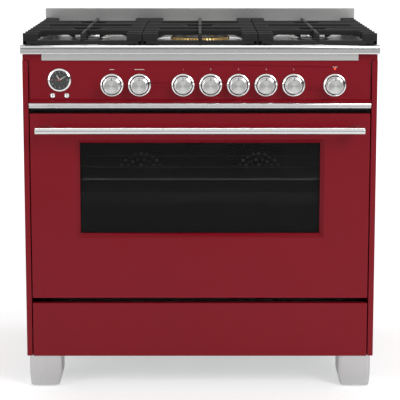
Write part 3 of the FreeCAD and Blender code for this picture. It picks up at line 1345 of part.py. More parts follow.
def hinge_yokes():
    """Steel yokes inside the door, each with the pin that turns in the fixed hinge plate."""
    solids = []
    for side in (-1, 1):
        x = f"{side} * hinge_x"
        inner = "(hinge_plate / 2 + yoke_gap)"
        outer = f"({inner} + yoke_cheek)"
        y = ("door_y + door_skin + fit_gap", "door_y + door_skin + fit_gap + yoke_depth")
        z = ("door_bottom + door_skin + fit_gap", "door_bottom + door_skin + fit_gap + yoke_height")
        whole = block(f"yoke_whole_{side + 1}", (f"{x} - {outer}", f"{x} + {outer}"), y, z)
        gap = block(f"yoke_gap_{side + 1}", (f"{x} - {inner}", f"{x} + {inner}"),
                    ("hinge_y - hinge_radius - 2", f"{y[1]} + 1"),
                    (f"{z[0]} - 1", "hinge_z + yoke_height / 2"))
        bore = rod(f"yoke_bore_{side + 1}", "x", ("hinge_y", "hinge_z"),
                   (f"{x} - {outer} - 1", f"{x} + {outer} + 1"), "pin_radius + running_gap / 2")
        solids.append(cut(f"yoke_{side + 1}", whole, gap, bore))
        solids.append(rod(f"hinge_pin_{side + 1}", "x", ("hinge_y", "hinge_z"),
                          (f"{x} - {outer}", f"{x} + {outer}"), "pin_radius"))
    node("door_hinge_yokes", group("yokes", *solids))


# ---------------------------------------------------------------- drawer


def drawer():
    """The storage drawer: painted front, steel box, and slides at both sides."""
    skin = block("drawer_skin", ("-door_half", "door_half"), ("door_y", "drawer_back"),
                 ("leg_height", "drawer_top"))
    back = block("drawer_skin_hollow", ("-door_half + door_skin", "door_half - door_skin"),
                 ("door_y + door_skin", "drawer_back + 1"),
                 ("leg_height + door_skin", "drawer_top - door_skin"))
    node("drawer_front", cut("drawer_front_cut", skin, back))

    z = ("box_bottom", "box_bottom + drawer_box_height")
    y = ("door_y + door_skin", "door_y + door_skin + drawer_box_depth")
    outer = block("drawer_box_outer", ("-box_half", "box_half"), y, z)
    inner = block("drawer_box_inner", ("-box_half + plate", "box_half - plate"),
                  (f"{y[0]} + plate", f"{y[1]} - plate"), (f"{z[0]} + plate", f"{z[1]} + 1"))
    node("drawer_box", cut("drawer_box_cut", outer, inner))

    moving, fixed = [], []
    half = "slide_height / 2"
    for side in (-1, 1):
        def across(low, high, sign=side):
            """A span measured outwards from the middle, on one side of the range."""
            return (low, high) if sign > 0 else (f"-({high})", f"-({low})")

        moving.append(block(f"slide_moving_{side + 1}", across("box_half", "box_half + slide_thick"),
                            ("tray_y + slack", y[1]),
                            (f"slide_z - {half} + plate + fit_gap", f"slide_z + {half} - plate - fit_gap")))
        body = block(f"slide_body_{side + 1}",
                     across("slide_outer - drawer_side_gap + slide_thick / 2", "slide_outer"),
                     ("tray_y + slide_thick", f"{y[1]} + slide_reach"),
                     (f"slide_z - {half}", f"slide_z + {half}"))
        channel = block(f"slide_channel_{side + 1}",
                        across("slide_outer - drawer_side_gap - 1", "slide_outer - plate"),
                        ("tray_y", f"{y[1]} + slide_reach - plate"),
                        (f"slide_z - {half} + plate", f"slide_z + {half} - plate"))
        fixed.append(cut(f"slide_fixed_{side + 1}", body, channel))
    node("drawer_slides", group("slides_moving", *moving))
    node("drawer_runners", group("slides_fixed", *fixed))


# ---------------------------------------------------------------- build


def build():
    fill_sheet()
    side_panels()
    rear_panel()
    base_tray()
    legs()
    backguard()
    cooktop()
    burners()
    grates()
    fascia()
    bezels()
    controls()
    clock()
    gas_pipework()
    oven_liner()
    door_seal()
    fan_baffle()
    fans()
    heating_elements()
    rack("oven_rack_upper", "upper_rack")
    rack("oven_rack_lower", "lower_rack")
    rack_guides()
    roasting_pan()
    door_outer_panel()
    door_inner_panel()
    door_glass()
    door_handle()
    hinge_yokes()
    drawer()
    doc.recompute()


def check():
    """Stops the build if any object failed, or if a piece is not a valid closed solid."""
    for thing in doc.Objects:
        if {"Invalid", "Error"} & set(thing.State):
            raise RuntimeError(f"{thing.Name} failed: {thing.State} {thing.getStatusString()}")
    for name, piece in nodes.items():
        shape = piece.Shape
        if shape.isNull() or not shape.isValid() or not shape.Solids:
            raise RuntimeError(f"{name} is not a valid solid")
    if len(nodes) > MAX_NODES:
        raise RuntimeError(f"{len(nodes)} nodes is more than {MAX_NODES}")


def export():
    os.makedirs(PARTS_FOLDER, exist_ok=True)
    for name, piece in nodes.items():
        piece.Shape.exportStep(os.path.join(PARTS_FOLDER, name + ".step"))
    print(f"{len(nodes)} nodes, {sum(len(p.Shape.Solids) for p in nodes.values())} solids")


build()
check()
export()
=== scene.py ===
"""The looks of a freestanding gas range: its finishes and modelled pieces round a fixed frame.

Lengths are metres in the frame's own axes: the front faces -Y, +Z is up, and the floor is z = 0.
"""

import math

import bpy
import numpy as np
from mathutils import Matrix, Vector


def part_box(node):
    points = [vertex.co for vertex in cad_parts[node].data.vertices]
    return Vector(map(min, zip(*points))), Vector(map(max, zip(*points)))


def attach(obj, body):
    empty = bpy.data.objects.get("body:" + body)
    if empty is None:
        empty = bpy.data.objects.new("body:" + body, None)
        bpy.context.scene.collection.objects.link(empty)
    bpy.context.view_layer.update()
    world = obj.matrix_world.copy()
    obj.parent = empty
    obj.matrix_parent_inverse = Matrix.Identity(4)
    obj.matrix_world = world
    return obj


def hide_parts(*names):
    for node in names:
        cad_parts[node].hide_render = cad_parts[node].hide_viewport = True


bl_info = {
    "name": "Freestanding Gas Range",
    "version": (1, 0, 0),
    "blender": (4, 5, 0),
    "location": "3D View > Sidebar > Range",
    "description": "Builds the visible pieces of a freestanding gas range and their finishes",
    "category": "Add Mesh",
}

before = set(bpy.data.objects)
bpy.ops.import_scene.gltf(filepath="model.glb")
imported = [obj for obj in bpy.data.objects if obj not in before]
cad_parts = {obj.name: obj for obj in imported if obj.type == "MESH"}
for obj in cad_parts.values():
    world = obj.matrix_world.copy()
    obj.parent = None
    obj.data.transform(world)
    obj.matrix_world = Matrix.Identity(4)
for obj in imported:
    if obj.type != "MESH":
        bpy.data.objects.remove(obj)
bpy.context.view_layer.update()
MM = 0.001
BURNER_KNOBS = [f"burner_knob_{i}" for i in range(1, 6)]
OVEN_KNOBS = ["function_knob", "temperature_knob", "clean_knob"]
KNOB_BODIES = {name: f"knob_{i}" for i, name in enumerate(BURNER_KNOBS, 1)}
KNOB_BODIES.update({name: name.replace("_knob", "_dial") for name in OVEN_KNOBS})
GRATES = {"grate_left": "left_grate", "grate_centre": "centre_grate", "grate_right": "right_grate"}


def low(node):
    return np.array(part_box(node)[0])


def high(node):
    return np.array(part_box(node)[1])


def middle(node):
    return (low(node) + high(node)) / 2


# ---------------------------------------------------------------- surfaces


def grid_faces(rows, columns, wrap_rows, wrap_columns):
    """Quads between neighbouring points of a rows x columns grid, joined end to start where asked."""
    r = np.arange(rows if wrap_rows else rows - 1)[:, None]
    c = np.arange(columns if wrap_columns else columns - 1)[None, :]
    r2, c2 = (r + 1) % rows, (c + 1) % columns
    quads = np.stack([r * columns + c, r * columns + c2, r2 * columns + c2, r2 * columns + c], -1)
    return quads.reshape(-1, 4)


class Surface:
    """Collects grids of points and their faces into one mesh."""

    def __init__(self):
        self.points, self.faces, self.count = [], [], 0

    def grid(self, points, wrap_rows=False, wrap_columns=False, caps=False):
        """Adds a (rows, columns, 3) grid; caps closes the first and last row with a fan of one polygon."""
        rows, columns = points.shape[:2]
        flat = points.reshape(-1, 3)
        self.faces += (grid_faces(rows, columns, wrap_rows, wrap_columns) + self.count).tolist()
        if caps:
            first = np.arange(columns) + self.count
            self.faces.append(first[::-1].tolist())
            self.faces.append((first + (rows - 1) * columns).tolist())
        self.points.append(flat)
        self.count += len(flat)
        return self

    def solid(self, rings):
        """Closed rings carried along a path, with both ends capped."""
        return self.grid(rings, wrap_columns=True, caps=True)

    def turned(self, rings):
        """Closed rings that end in a point or an open lip."""
        return self.grid(rings, wrap_columns=True)

    def mesh(self, name):
        mesh = bpy.data.meshes.new(name)
        mesh.from_pydata(np.concatenate(self.points).tolist(), [], self.faces)
        mesh.update()
        return mesh


def piece(name, surface, material, body, smooth=40, replaces=()):
    """Makes an object from a surface: doubles welded, faces outwards, smooth up to an angle."""
    mesh = surface.mesh(name)
    thing = bpy.data.objects.new(name, mesh)
    bpy.context.scene.collection.objects.link(thing)
    bpy.ops.object.select_all(action="DESELECT")
    thing.select_set(True)
    bpy.context.view_layer.objects.active = thing
    bpy.ops.object.mode_set(mode="EDIT")
    bpy.ops.mesh.select_all(action="SELECT")
    bpy.ops.mesh.remove_doubles(threshold=1e-6)
    bpy.ops.mesh.dissolve_degenerate(threshold=1e-7)
    bpy.ops.mesh.normals_make_consistent(inside=False)
    bpy.ops.object.mode_set(mode="OBJECT")
    bpy.ops.object.shade_smooth_by_angle(angle=math.radians(smooth))
    thing.data.materials.append(material)
    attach(thing, body)
    if replaces:
        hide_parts(*replaces)
    return thing


def circle(count, phase=0.0):
    """Unit circle: (cos a, sin a) for count evenly spaced angles a."""
    a = np.arange(count) * (2 * np.pi / count) + phase
    return np.stack([np.cos(a), np.sin(a)], -1)


def lathe(profile, centre, axis=(0, 0, 1), count=96, wobble=None):
    """A profile of (radius, height) turned about an axis: p = centre + r (cos a U + sin a V) + h axis.

    wobble(a, h) scales the radius at angle a and height h."""
    profile = np.asarray(profile, float)
    axis = np.asarray(axis, float)
    u = np.cross(axis, (0.0, 0.0, 1.0) if abs(axis[2]) < 0.9 else (0.0, 1.0, 0.0))
    u /= np.linalg.norm(u)
    v = np.cross(axis, u)
    turn = circle(count)
    radius = profile[:, 0][:, None] * np.ones(count)[None]
    if wobble is not None:
        angle = np.arange(count) * (2 * np.pi / count)
        radius = radius * wobble(angle[None, :], profile[:, 1][:, None])
    ring = turn[:, 0][:, None] * u + turn[:, 1][:, None] * v
    return (np.asarray(centre, float) + radius[..., None] * ring[None] + profile[:, 1][:, None, None] * axis)


def arc(centre, radius, start, end, count=6):
    """Points centre + radius (cos a, sin a) for a from start to end degrees."""
    a = np.radians(np.linspace(start, end, count))
    return np.stack([centre[0] + radius * np.cos(a), centre[1] + radius * np.sin(a)], -1)


def joined(*runs):
    return np.concatenate([np.atleast_2d(np.asarray(run, float)) for run in runs])


def rounded_rectangle(width, height, radius, count=5):
    """Outline of a rectangle with quarter-circle corners, counter-clockwise, centred on 0."""
    w, h = width / 2 - radius, height / 2 - radius
    return joined(arc((w, h), radius, 0, 90, count), arc((-w, h), radius, 90, 180, count),
                  arc((-w, -h), radius, 180, 270, count), arc((w, -h), radius, 270, 360, count))


def soft_box(lo, hi, radius, count=4):
    """A box with rounded edges: p = core corner + radius n, for n on a sphere cut at its eight octants."""
    lo, hi = np.asarray(lo, float), np.asarray(hi, float)
    radius = min(radius, 0.499 * float(np.min(hi - lo)))
    quarter = np.linspace(0, np.pi / 2, count)
    lon = np.concatenate([quarter + k * np.pi / 2 for k in range(4)])
    side = np.repeat([(1, 1), (-1, 1), (-1, -1), (1, -1)], count, axis=0)
    lat = np.concatenate([quarter - np.pi / 2, quarter])
    up = np.repeat([-1, 1], count)
    centre, half = (lo + hi) / 2, (hi - lo) / 2 - radius
    x = np.cos(lat)[:, None] * np.cos(lon)[None] * radius + side[:, 0][None] * half[0]
    y = np.cos(lat)[:, None] * np.sin(lon)[None] * radius + side[:, 1][None] * half[1]
    z = (np.sin(lat) * radius + up * half[2])[:, None] * np.ones(len(lon))[None]
    return np.stack([x, y, z], -1) + centre


# ---------------------------------------------------------------- shader expressions


class Wire:
    """One output socket of a material's nodes; arithmetic on it adds Math nodes."""

    def __init__(self, shader, socket):
        self.shader, self.socket = shader, socket

    def math(self, operation, *others):
        return self.shader.node("ShaderNodeMath", {"operation": operation}, self, *others)

    def __add__(self, other):
        return self.math("ADD", other)

    def __sub__(self, other):
        return self.math("SUBTRACT", other)

    def __rsub__(self, other):
        return self.shader.node("ShaderNodeMath", {"operation": "SUBTRACT"}, other, self)

    def __mul__(self, other):
        return self.math("MULTIPLY", other)

    def __pow__(self, other):
        return self.math("POWER", other)

    def __gt__(self, other):
        return self.math("GREATER_THAN", other)

    def __lt__(self, other):
        return self.math("LESS_THAN", other)

    __radd__ = __add__
    __rmul__ = __mul__


class Shader:
    """A material under construction: a Principled surface and the nodes that feed it."""

    def __init__(self, name):
        self.material = bpy.data.materials.new(name)
        self.material.use_nodes = True
        self.tree = self.material.node_tree
        self.tree.nodes.clear()
        self.surface = self.tree.nodes.new("ShaderNodeBsdfPrincipled")
        self.output = self.tree.nodes.new("ShaderNodeOutputMaterial")
        self.tree.links.new(self.surface.outputs[0], self.output.inputs["Surface"])

    def feed(self, socket, value):
        if isinstance(value, Wire):
            self.tree.links.new(value.socket, socket)
        elif value is not None:
            socket.default_value = value

    def node(self, kind, settings=None, *values, out=0, **named):
        """Adds a node: its settings first, then the values or wires of its sockets, by order or by name."""
        made = self.tree.nodes.new(kind)
        for key, value in (settings or {}).items():
            if key == "ramp":
                while len(made.color_ramp.elements) < len(value):
                    made.color_ramp.elements.new(0.5)
                for stop, (place, colour) in zip(made.color_ramp.elements, value):
                    stop.position, stop.color = place, colour
            else:
                setattr(made, key, value)
        for i, value in enumerate(values):
            self.feed(made.inputs[i], value)
        for key, value in named.items():
            self.feed(made.inputs[key.replace("_", " ")], value)
        return Wire(self, made.outputs[out])

    def place(self, scale=(1, 1, 1), centre=(0, 0, 0), turn=(0, 0, 0)):
        """The object's own coordinates, moved so that centre is 0, then turned and scaled."""
        coordinates = self.node("ShaderNodeTexCoord", out="Object")
        moved = self.node("ShaderNodeVectorMath", {"operation": "SUBTRACT"}, coordinates, centre)
        return self.node("ShaderNodeMapping", {"vector_type": "POINT"}, Vector=moved, Rotation=turn,
                         Scale=scale)

    def noise(self, vector, scale, detail=2.0, roughness=0.5):
        return self.node("ShaderNodeTexNoise", None, Vector=vector, Scale=scale, Detail=detail,
                         Roughness=roughness)

    def axes(self, vector):
        made = self.tree.nodes.new("ShaderNodeSeparateXYZ")
        self.feed(made.inputs[0], vector)
        return [Wire(self, made.outputs[i]) for i in range(3)]

    def between(self, factor, first, second):
        """Colour first where the factor is 0 and second where it is 1."""
        made = self.tree.nodes.new("ShaderNodeMix")
        made.data_type = "RGBA"
        self.feed(made.inputs[0], factor)
        self.feed(made.inputs[6], first)
        self.feed(made.inputs[7], second)
        return Wire(self, made.outputs[2])

    def bump(self, height, distance, strength=1.0):
        return self.node("ShaderNodeBump", None, Height=height, Distance=distance, Strength=strength)

    def finish(self, **sockets):
        """Sets the surface's sockets and gives the material."""
        for name, value in sockets.items():
            self.feed(self.surface.inputs[name.replace("_", " ")], value)
        return self.material


def rgba(colour, gain=1.0):
    return (colour[0] * gain, colour[1] * gain, colour[2] * gain, 1.0)


# ---------------------------------------------------------------- finishes


def enamel_paint(name, colour, tint=0.07):
    """Gloss stove enamel: a slightly uneven colour under a clear coat with faint orange peel."""
    s = Shader(name)
    cloud = s.noise(s.place(), 3.0, 3.0)
    peel = s.noise(s.place(), 260.0, 2.0)
    fleck = s.noise(s.place(), 1800.0, 1.0)
    shade = s.between(cloud, rgba(colour, 1 - tint), rgba(colour, 1 + tint))
    shade = s.between(fleck * 0.10, shade, rgba(colour, 0.5))
    return s.finish(Base_Color=shade, Roughness=cloud * 0.06 + 0.22, Normal=s.bump(peel, 0.00003, 0.25),
                    Specular_IOR_Level=0.2)


def brushed_metal(name, colour, along, roughness=0.28, grain=0.12):
    """Sheet metal with fine parallel scratches along one axis and a slow drift of tone."""
    s = Shader(name)
    scale = [900.0, 900.0, 900.0]
    scale[along] = 4.0
    scratch = s.noise(s.place(scale=tuple(scale)), 1.0, 3.0, 0.6)
    smudge = s.noise(s.place(), 6.0, 3.0)
    shade = s.between(scratch, rgba(colour, 1 - grain), rgba(colour, 1 + grain * 0.6))
    rough = scratch * 0.08 + smudge * 0.05 + (roughness - 0.06)
    return s.finish(Base_Color=shade, Metallic=1.0, Roughness=rough, Normal=s.bump(scratch, 0.000004, 0.05))


def polished_metal(name, colour, roughness=0.06):
    """Polished plating: nearly a mirror, with faint handling marks in its roughness."""
    s = Shader(name)
    marks = s.noise(s.place(), 35.0, 4.0, 0.65)
    fine = s.noise(s.place(), 420.0, 2.0)
    shade = s.between(marks, rgba(colour, 0.95), rgba(colour))
    return s.finish(Base_Color=shade, Metallic=1.0, Roughness=marks * 0.08 + fine * 0.02 + (roughness - 0.03),
                    Normal=s.bump(fine, 0.00001, 0.15))


def turned_metal(name, colour, centre, roughness=0.3):
    """A face turned on a lathe: fine concentric rings round the centre, in the X-Z plane, under a painted
    bow-tie highlight: its colour is painted lighter towards 12 and 6 o'clock and darker towards 3 and 9.
    """
    s = Shader(name)
    x, _, z = s.axes(s.place(centre=centre))
    radius = (x * x + z * z) ** 0.5
    rings = (radius * 9000.0).math("SINE")
    angle = s.node("ShaderNodeMath", {"operation": "ARCTAN2"}, z, x)
    # painted bow-tie highlight and shade: the colour turns lighter and darker with the angle round the
    # centre, the way a lathe-turned face reflects the lamps
    painted_bowtie_shading = ((angle * 2.0).math("COSINE") * 0.5 + 0.5) ** 1.5
    drift = s.noise(s.place(), 60.0, 2.0)
    shade = s.between(painted_bowtie_shading, rgba(colour, 1.08), rgba(colour, 0.72))
    return s.finish(Base_Color=shade, Metallic=0.85, Roughness=drift * 0.08 + (roughness - 0.04),
                    Normal=s.bump(rings, 0.00002, 0.25))


def cast_enamel(name, colour, roughness=0.55):
    """Cast iron under matt enamel: a grainy, softly pitted skin."""
    s = Shader(name)
    grain = s.noise(s.place(), 1100.0, 3.0, 0.7)
    lumps = s.noise(s.place(), 130.0, 3.0)
    shade = s.between(lumps, rgba(colour, 0.8), rgba(colour, 1.35))
    return s.finish(Base_Color=shade, Roughness=grain * 0.2 + (roughness - 0.1),
                    Normal=s.bump(grain * 0.5 + lumps, 0.00025, 0.4), Specular_IOR_Level=0.3)


def oven_enamel(name, colour):
    """Vitreous enamel: glossy dark ground with small pale specks."""
    s = Shader(name)
    cell = s.node("ShaderNodeTexVoronoi", {"feature": "F1"}, Vector=s.place(), Scale=420.0)
    speck = cell < 0.16
    waves = s.noise(s.place(), 90.0, 2.0)
    shade = s.between(speck * 0.55, rgba(colour), (0.35, 0.36, 0.38, 1))
    return s.finish(Base_Color=shade, Roughness=waves * 0.1 + 0.2, Normal=s.bump(waves, 0.0001, 0.3),
                    Coat_Weight=0.3)


def tinted_glass(name, colour, alpha):
    """Heat-reflecting oven glass: a smoky sheet whose see-through share varies a little."""
    s = Shader(name)
    haze = s.noise(s.place(), 14.0, 2.0)
    return s.finish(Base_Color=rgba(colour), Roughness=haze * 0.03 + 0.03, Alpha=haze * 0.04 + (alpha - 0.02),
                    IOR=1.5, Specular_IOR_Level=0.22)


def clear_glass(name):
    """A thin clear cover glass."""
    s = Shader(name)
    haze = s.noise(s.place(), 200.0, 1.0)
    return s.finish(Base_Color=(0.9, 0.92, 0.92, 1), Roughness=haze * 0.02 + 0.02, Alpha=0.03, IOR=1.45,
                    Specular_IOR_Level=0.05)


def moulded(name, colour, roughness=0.5):
    """Moulded plastic or rubber: a fine sparked texture."""
    s = Shader(name)
    spark = s.noise(s.place(), 1500.0, 2.0)
    tone = s.noise(s.place(), 25.0, 2.0)
    shade = s.between(tone, rgba(colour, 0.85), rgba(colour, 1.15))
    return s.finish(Base_Color=shade, Roughness=spark * 0.1 + (roughness - 0.05),
                    Normal=s.bump(spark, 0.00008, 0.4))


def heated_steel(name):
    """Element sheath: grey-brown steel with straw and blue bands of heat."""
    s = Shader(name)
    bands = s.noise(s.place(), 30.0, 3.0)
    shade = s.node("ShaderNodeValToRGB", {"ramp": [
        (0.3, (0.05, 0.045, 0.045, 1)), (0.5, (0.12, 0.085, 0.06, 1)), (0.7, (0.06, 0.065, 0.085, 1))]},
        bands)
    return s.finish(Base_Color=shade, Metallic=0.7, Roughness=bands * 0.2 + 0.35)


def woven_seal(name):
    """Braided glass-fibre cord: crossed diagonal strands."""
    s = Shader(name)
    x, _, z = s.axes(s.place())
    strands = ((x + z) * 1600.0).math("SINE") * ((x - z) * 1600.0).math("SINE")
    shade = s.between(strands * 0.5 + 0.5, (0.03, 0.03, 0.03, 1), (0.11, 0.11, 0.105, 1))
    return s.finish(Base_Color=shade, Roughness=0.85, Normal=s.bump(strands, 0.0003, 0.6))


def glowing_lens(name, colour):
    """A lit lamp lens: coloured, glossy, brighter at its ribs."""
    s = Shader(name)
    ribs = s.noise(s.place(), 900.0, 1.0)
    shade = s.between(ribs, rgba(colour, 0.8), rgba(colour))
    return s.finish(Base_Color=shade, Roughness=0.15, Emission_Color=shade, Emission_Strength=0.9)


def printed_ink(name, colour):
    """Silk-screened ink: flat, slightly mottled."""
    s = Shader(name)
    mottle = s.noise(s.place(), 700.0, 2.0)
    shade = s.between(mottle, rgba(colour, 0.85), rgba(colour))
    return s.finish(Base_Color=shade, Roughness=mottle * 0.1 + 0.4)


FINISHES = {}


def make_finishes():
    paint = bpy.context.scene.range_paint
    red = tuple(paint.body_colour)
    FINISHES.update({
        "red_enamel": enamel_paint("red_enamel", red),
        "stainless": brushed_metal("stainless", (0.70, 0.70, 0.695), 0, 0.34, 0.03),
        "stainless_upright": brushed_metal("stainless_upright", (0.62, 0.62, 0.62), 2, 0.32),
        "zinc_steel": brushed_metal("zinc_steel", (0.50, 0.52, 0.53), 0, 0.42),
        "screw_zinc": polished_metal("screw_zinc", (0.60, 0.61, 0.62), 0.25),
        "cast_grate": cast_enamel("cast_grate", (0.008, 0.008, 0.0085)),
        "chrome_trim": polished_metal("chrome_trim", (0.80, 0.80, 0.80)),
        "rail_steel": brushed_metal("rail_steel", (0.72, 0.72, 0.72), 0, 0.12, 0.02),
        "oven_enamel": oven_enamel("oven_enamel", (0.018, 0.018, 0.021)),
        "burner_alloy": brushed_metal("burner_alloy", (0.55, 0.55, 0.54), 2, 0.42),
        "hob_steel": brushed_metal("hob_steel", (0.66, 0.66, 0.655), 0, 0.2, 0.05),
        "burner_teeth": brushed_metal("burner_teeth", (0.85, 0.85, 0.84), 2, 0.35, 0.05),
        "ceramic": moulded("ceramic", (0.8, 0.79, 0.76), 0.3),
        "burner_brass": polished_metal("burner_brass", (0.72, 0.50, 0.20), 0.22),
        "cap_enamel": cast_enamel("cap_enamel", (0.012, 0.012, 0.013), 0.4),
        "dark_glass": tinted_glass("dark_glass", (0.003, 0.003, 0.0035), 0.30),
        "clear_glass": clear_glass("clear_glass"),
        "seal_cord": woven_seal("seal_cord"),
        "rubber_foot": moulded("rubber_foot", (0.025, 0.025, 0.025), 0.8),
        "clock_dial": moulded("clock_dial", (0.008, 0.009, 0.009), 0.9),
        "hand_white": printed_ink("hand_white", (0.85, 0.85, 0.85)),
        "hand_red": printed_ink("hand_red", (0.55, 0.03, 0.04)),
        "tap_brass": polished_metal("tap_brass", (0.62, 0.45, 0.20), 0.3),
        # this dark finish also colours the knob pointers, where it is painted shade for the pointer grooves
        "switch_plastic": moulded("switch_plastic", (0.06, 0.06, 0.065)),
        "element_sheath": heated_steel("element_sheath"),
        "pipe_steel": brushed_metal("pipe_steel", (0.58, 0.58, 0.57), 0, 0.38),
        "fan_steel": brushed_metal("fan_steel", (0.60, 0.60, 0.60), 0, 0.3),
        "motor_steel": cast_enamel("motor_steel", (0.12, 0.12, 0.125), 0.5),
        "pan_enamel": oven_enamel("pan_enamel", (0.022, 0.022, 0.025)),
        "lamp_red": glowing_lens("lamp_red", (0.9, 0.06, 0.02)),
        "ink": printed_ink("ink", (0.82, 0.78, 0.78)),
    })


# ---------------------------------------------------------------- settings


class RangePaint(bpy.types.PropertyGroup):
    """Colours and soft edges that a user would change."""
    body_colour: bpy.props.FloatVectorProperty(
        name="Body colour", description="Colour of the stove enamel", subtype="COLOR",
        size=3, min=0, max=1, default=(0.225, 0.0045, 0.0125))
    edge: bpy.props.FloatProperty(
        name="Folded edge", description="Outside radius of a folded sheet's edge",
        default=1.2 * MM, min=0.0, unit="LENGTH")


class RangeStudio(bpy.types.PropertyGroup):
    """The camera, the lamps and the floor."""
    distance: bpy.props.FloatProperty(
        name="Camera distance", description="From the camera to the body's front plane",
        default=3.82, min=0.5, unit="LENGTH")
    height: bpy.props.FloatProperty(
        name="Camera height", description="Height of the camera above the floor",
        default=1.21, min=0.0, unit="LENGTH")
    pitch: bpy.props.FloatProperty(
        name="Camera pitch", description="How far the camera looks down",
        default=math.radians(8.75), unit="ROTATION")
    lens: bpy.props.FloatProperty(name="Focal length", description="Focal length on a 36 mm sensor",
                                  default=136.3)
    shift: bpy.props.FloatProperty(
        name="Lens shift", description="Vertical shift of the lens, as a share of the frame", default=-0.12)


# ---------------------------------------------------------------- operators


class StageBuilder(bpy.types.Operator):
    """Make the floor, the lamps and the camera"""
    bl_idname = "gas_range.stage"
    bl_label = "Stage"

    def execute(self, context):
        studio = context.scene.range_studio
        floor_sheet()
        lamps()
        camera(studio)
        return {"FINISHED"}


FLOOR_REACH = 60.0
FLOOR_DROP = -0.001


def floor_sheet():
    """A wide level floor: the glow the camera sees rises with distance; reflections see a dim one."""
    side = np.linspace(-FLOOR_REACH, FLOOR_REACH, 3)
    points = np.stack([np.broadcast_to(side[:, None], (3, 3)), np.broadcast_to(side[None, :], (3, 3)),
                       np.full((3, 3), FLOOR_DROP)], -1)
    mesh = Surface().grid(points).mesh("studio_floor")
    floor = bpy.data.objects.new("studio_floor", mesh)
    bpy.context.scene.collection.objects.link(floor)
    s = Shader("studio_floor")
    tone = s.noise(s.place(), 0.6, 2.0)
    shade = s.between(tone, (0.80, 0.80, 0.80, 1), (0.84, 0.84, 0.84, 1))
    seen = s.node("ShaderNodeLightPath", out="Is Camera Ray")
    glossy = s.node("ShaderNodeLightPath", out="Is Glossy Ray")
    mirrored = glossy + s.node("ShaderNodeLightPath", out="Is Transmission Ray")
    x, y, _ = s.axes(s.place())
    away = s.node("ShaderNodeMapRange", {}, (x * x + y * y) ** 0.5,
                  From_Min=1.2, From_Max=4.5, To_Min=0.42, To_Max=0.85)
    floor.data.materials.append(s.finish(Base_Color=shade, Roughness=0.8,
                                         Emission_Color=seen * away + mirrored * 0.22,
                                         Emission_Strength=1.0))


LAMPS = [
    # name, place, looks at, width, height, watts
    ("key", (2.4, -3.0, 2.6), (0.0, 0.0, 0.5), 1.4, 2.0, 70),
    ("fill", (-2.9, -2.6, 1.6), (0.0, 0.0, 0.5), 1.0, 2.2, 26),
    ("top", (0.0, 0.2, 2.9), (0.0, 0.1, 0.9), 2.2, 1.0, 26),
]
SKY = [
    # share of the way from straight down to straight up, brightness in reflections
    (0.00, 0.55),
    (0.44, 0.30),
    (0.50, 0.10),
    (0.58, 0.16),
    (0.66, 0.95),
    (0.82, 1.00),
    (1.00, 0.70),
]


def lamps():
    for name, place, target, width, height, power in LAMPS:
        data = bpy.data.lights.new(name, "AREA")
        data.shape, data.size, data.size_y, data.energy = "RECTANGLE", width, height, power
        lamp = bpy.data.objects.new(name, data)
        lamp.location = place
        direction = np.subtract(target, place)
        lamp.rotation_euler = (math.atan2(math.hypot(direction[0], direction[1]), -direction[2]), 0,
                               math.atan2(-direction[0], direction[1]))
        bpy.context.scene.collection.objects.link(lamp)
    sky()


def sky():
    """White where the camera looks, even light on surfaces, and soft bands by height in reflections."""
    world = bpy.data.worlds.new("studio")
    bpy.context.scene.world = world
    world.use_nodes = True
    nodes, links = world.node_tree.nodes, world.node_tree.links
    nodes.clear()
    direction = nodes.new("ShaderNodeTexCoord").outputs["Generated"]
    split = nodes.new("ShaderNodeSeparateXYZ")
    links.new(direction, split.inputs[0])
    height = nodes.new("ShaderNodeMapRange")
    height.inputs["From Min"].default_value = -1
    links.new(split.outputs["Z"], height.inputs["Value"])
    ramp = nodes.new("ShaderNodeValToRGB")
    while len(ramp.color_ramp.elements) < len(SKY):
        ramp.color_ramp.elements.new(0.5)
    for stop, (place, level) in zip(ramp.color_ramp.elements, SKY):
        stop.position, stop.color = place, (level, level, level, 1)
    links.new(height.outputs["Result"], ramp.inputs["Fac"])
    rays = nodes.new("ShaderNodeLightPath")
    reflected = nodes.new("ShaderNodeMix")
    reflected.data_type = "RGBA"
    reflected.inputs[6].default_value = (0.45, 0.45, 0.45, 1)
    links.new(rays.outputs["Is Glossy Ray"], reflected.inputs[0])
    links.new(ramp.outputs["Color"], reflected.inputs[7])
    seen = nodes.new("ShaderNodeMix")
    seen.data_type = "RGBA"
    seen.inputs[7].default_value = (1, 1, 1, 1)
    links.new(rays.outputs["Is Camera Ray"], seen.inputs[0])
    links.new(reflected.outputs[2], seen.inputs[6])
    background = nodes.new("ShaderNodeBackground")
    links.new(seen.outputs[2], background.inputs["Color"])
    out = nodes.new("ShaderNodeOutputWorld")
    links.new(background.outputs[0], out.inputs["Surface"])


def camera(studio):
    data = bpy.data.cameras.new("camera")
    data.lens, data.sensor_width, data.shift_y = studio.lens, 36.0, studio.shift
    view = bpy.data.objects.new("camera", data)
    front = low("left_side_panel")[1]
    view.location = (0, front - studio.distance, studio.height)
    view.rotation_euler = (math.pi / 2 - studio.pitch, 0, 0)
    bpy.context.scene.collection.objects.link(view)
    bpy.context.scene.camera = view
    settings = bpy.context.scene.view_settings
    settings.view_transform = "Standard"


# ---------------------------------------------------------------- knobs and clock

BEZEL_HEIGHT = 7.0 * MM
FASCIA_Y = low("dial_bezels")[1] + BEZEL_HEIGHT
FRONT = (0, -1, 0)


def dial_centre(node):
    """The point where a dial's axis meets the fascia."""
    centre = middle(node)
    return np.array([centre[0], FASCIA_Y, centre[2]])


def knob_grip(centre):
    """Side of a knob: a foot ring, a waist and a rolled rim round the face, turned about the dial's axis."""
    profile = joined(
        [[0, 5.0], [21.4, 5.0]], arc((21.4, 6.0), 1.0, -90, 0, 4), [[22.4, 9.5]],
        arc((21.6, 9.7), 0.8, 0, 90, 4), [[20.6, 10.9], [20.2, 12.0], [19.9, 27.5]],
        arc((18.4, 30.0), 1.9, -15, 90, 8), [[17.5, 31.7], [17.2, 31.0], [17.1, 30.6]]) * MM
    return lathe(profile, centre, FRONT, 96)


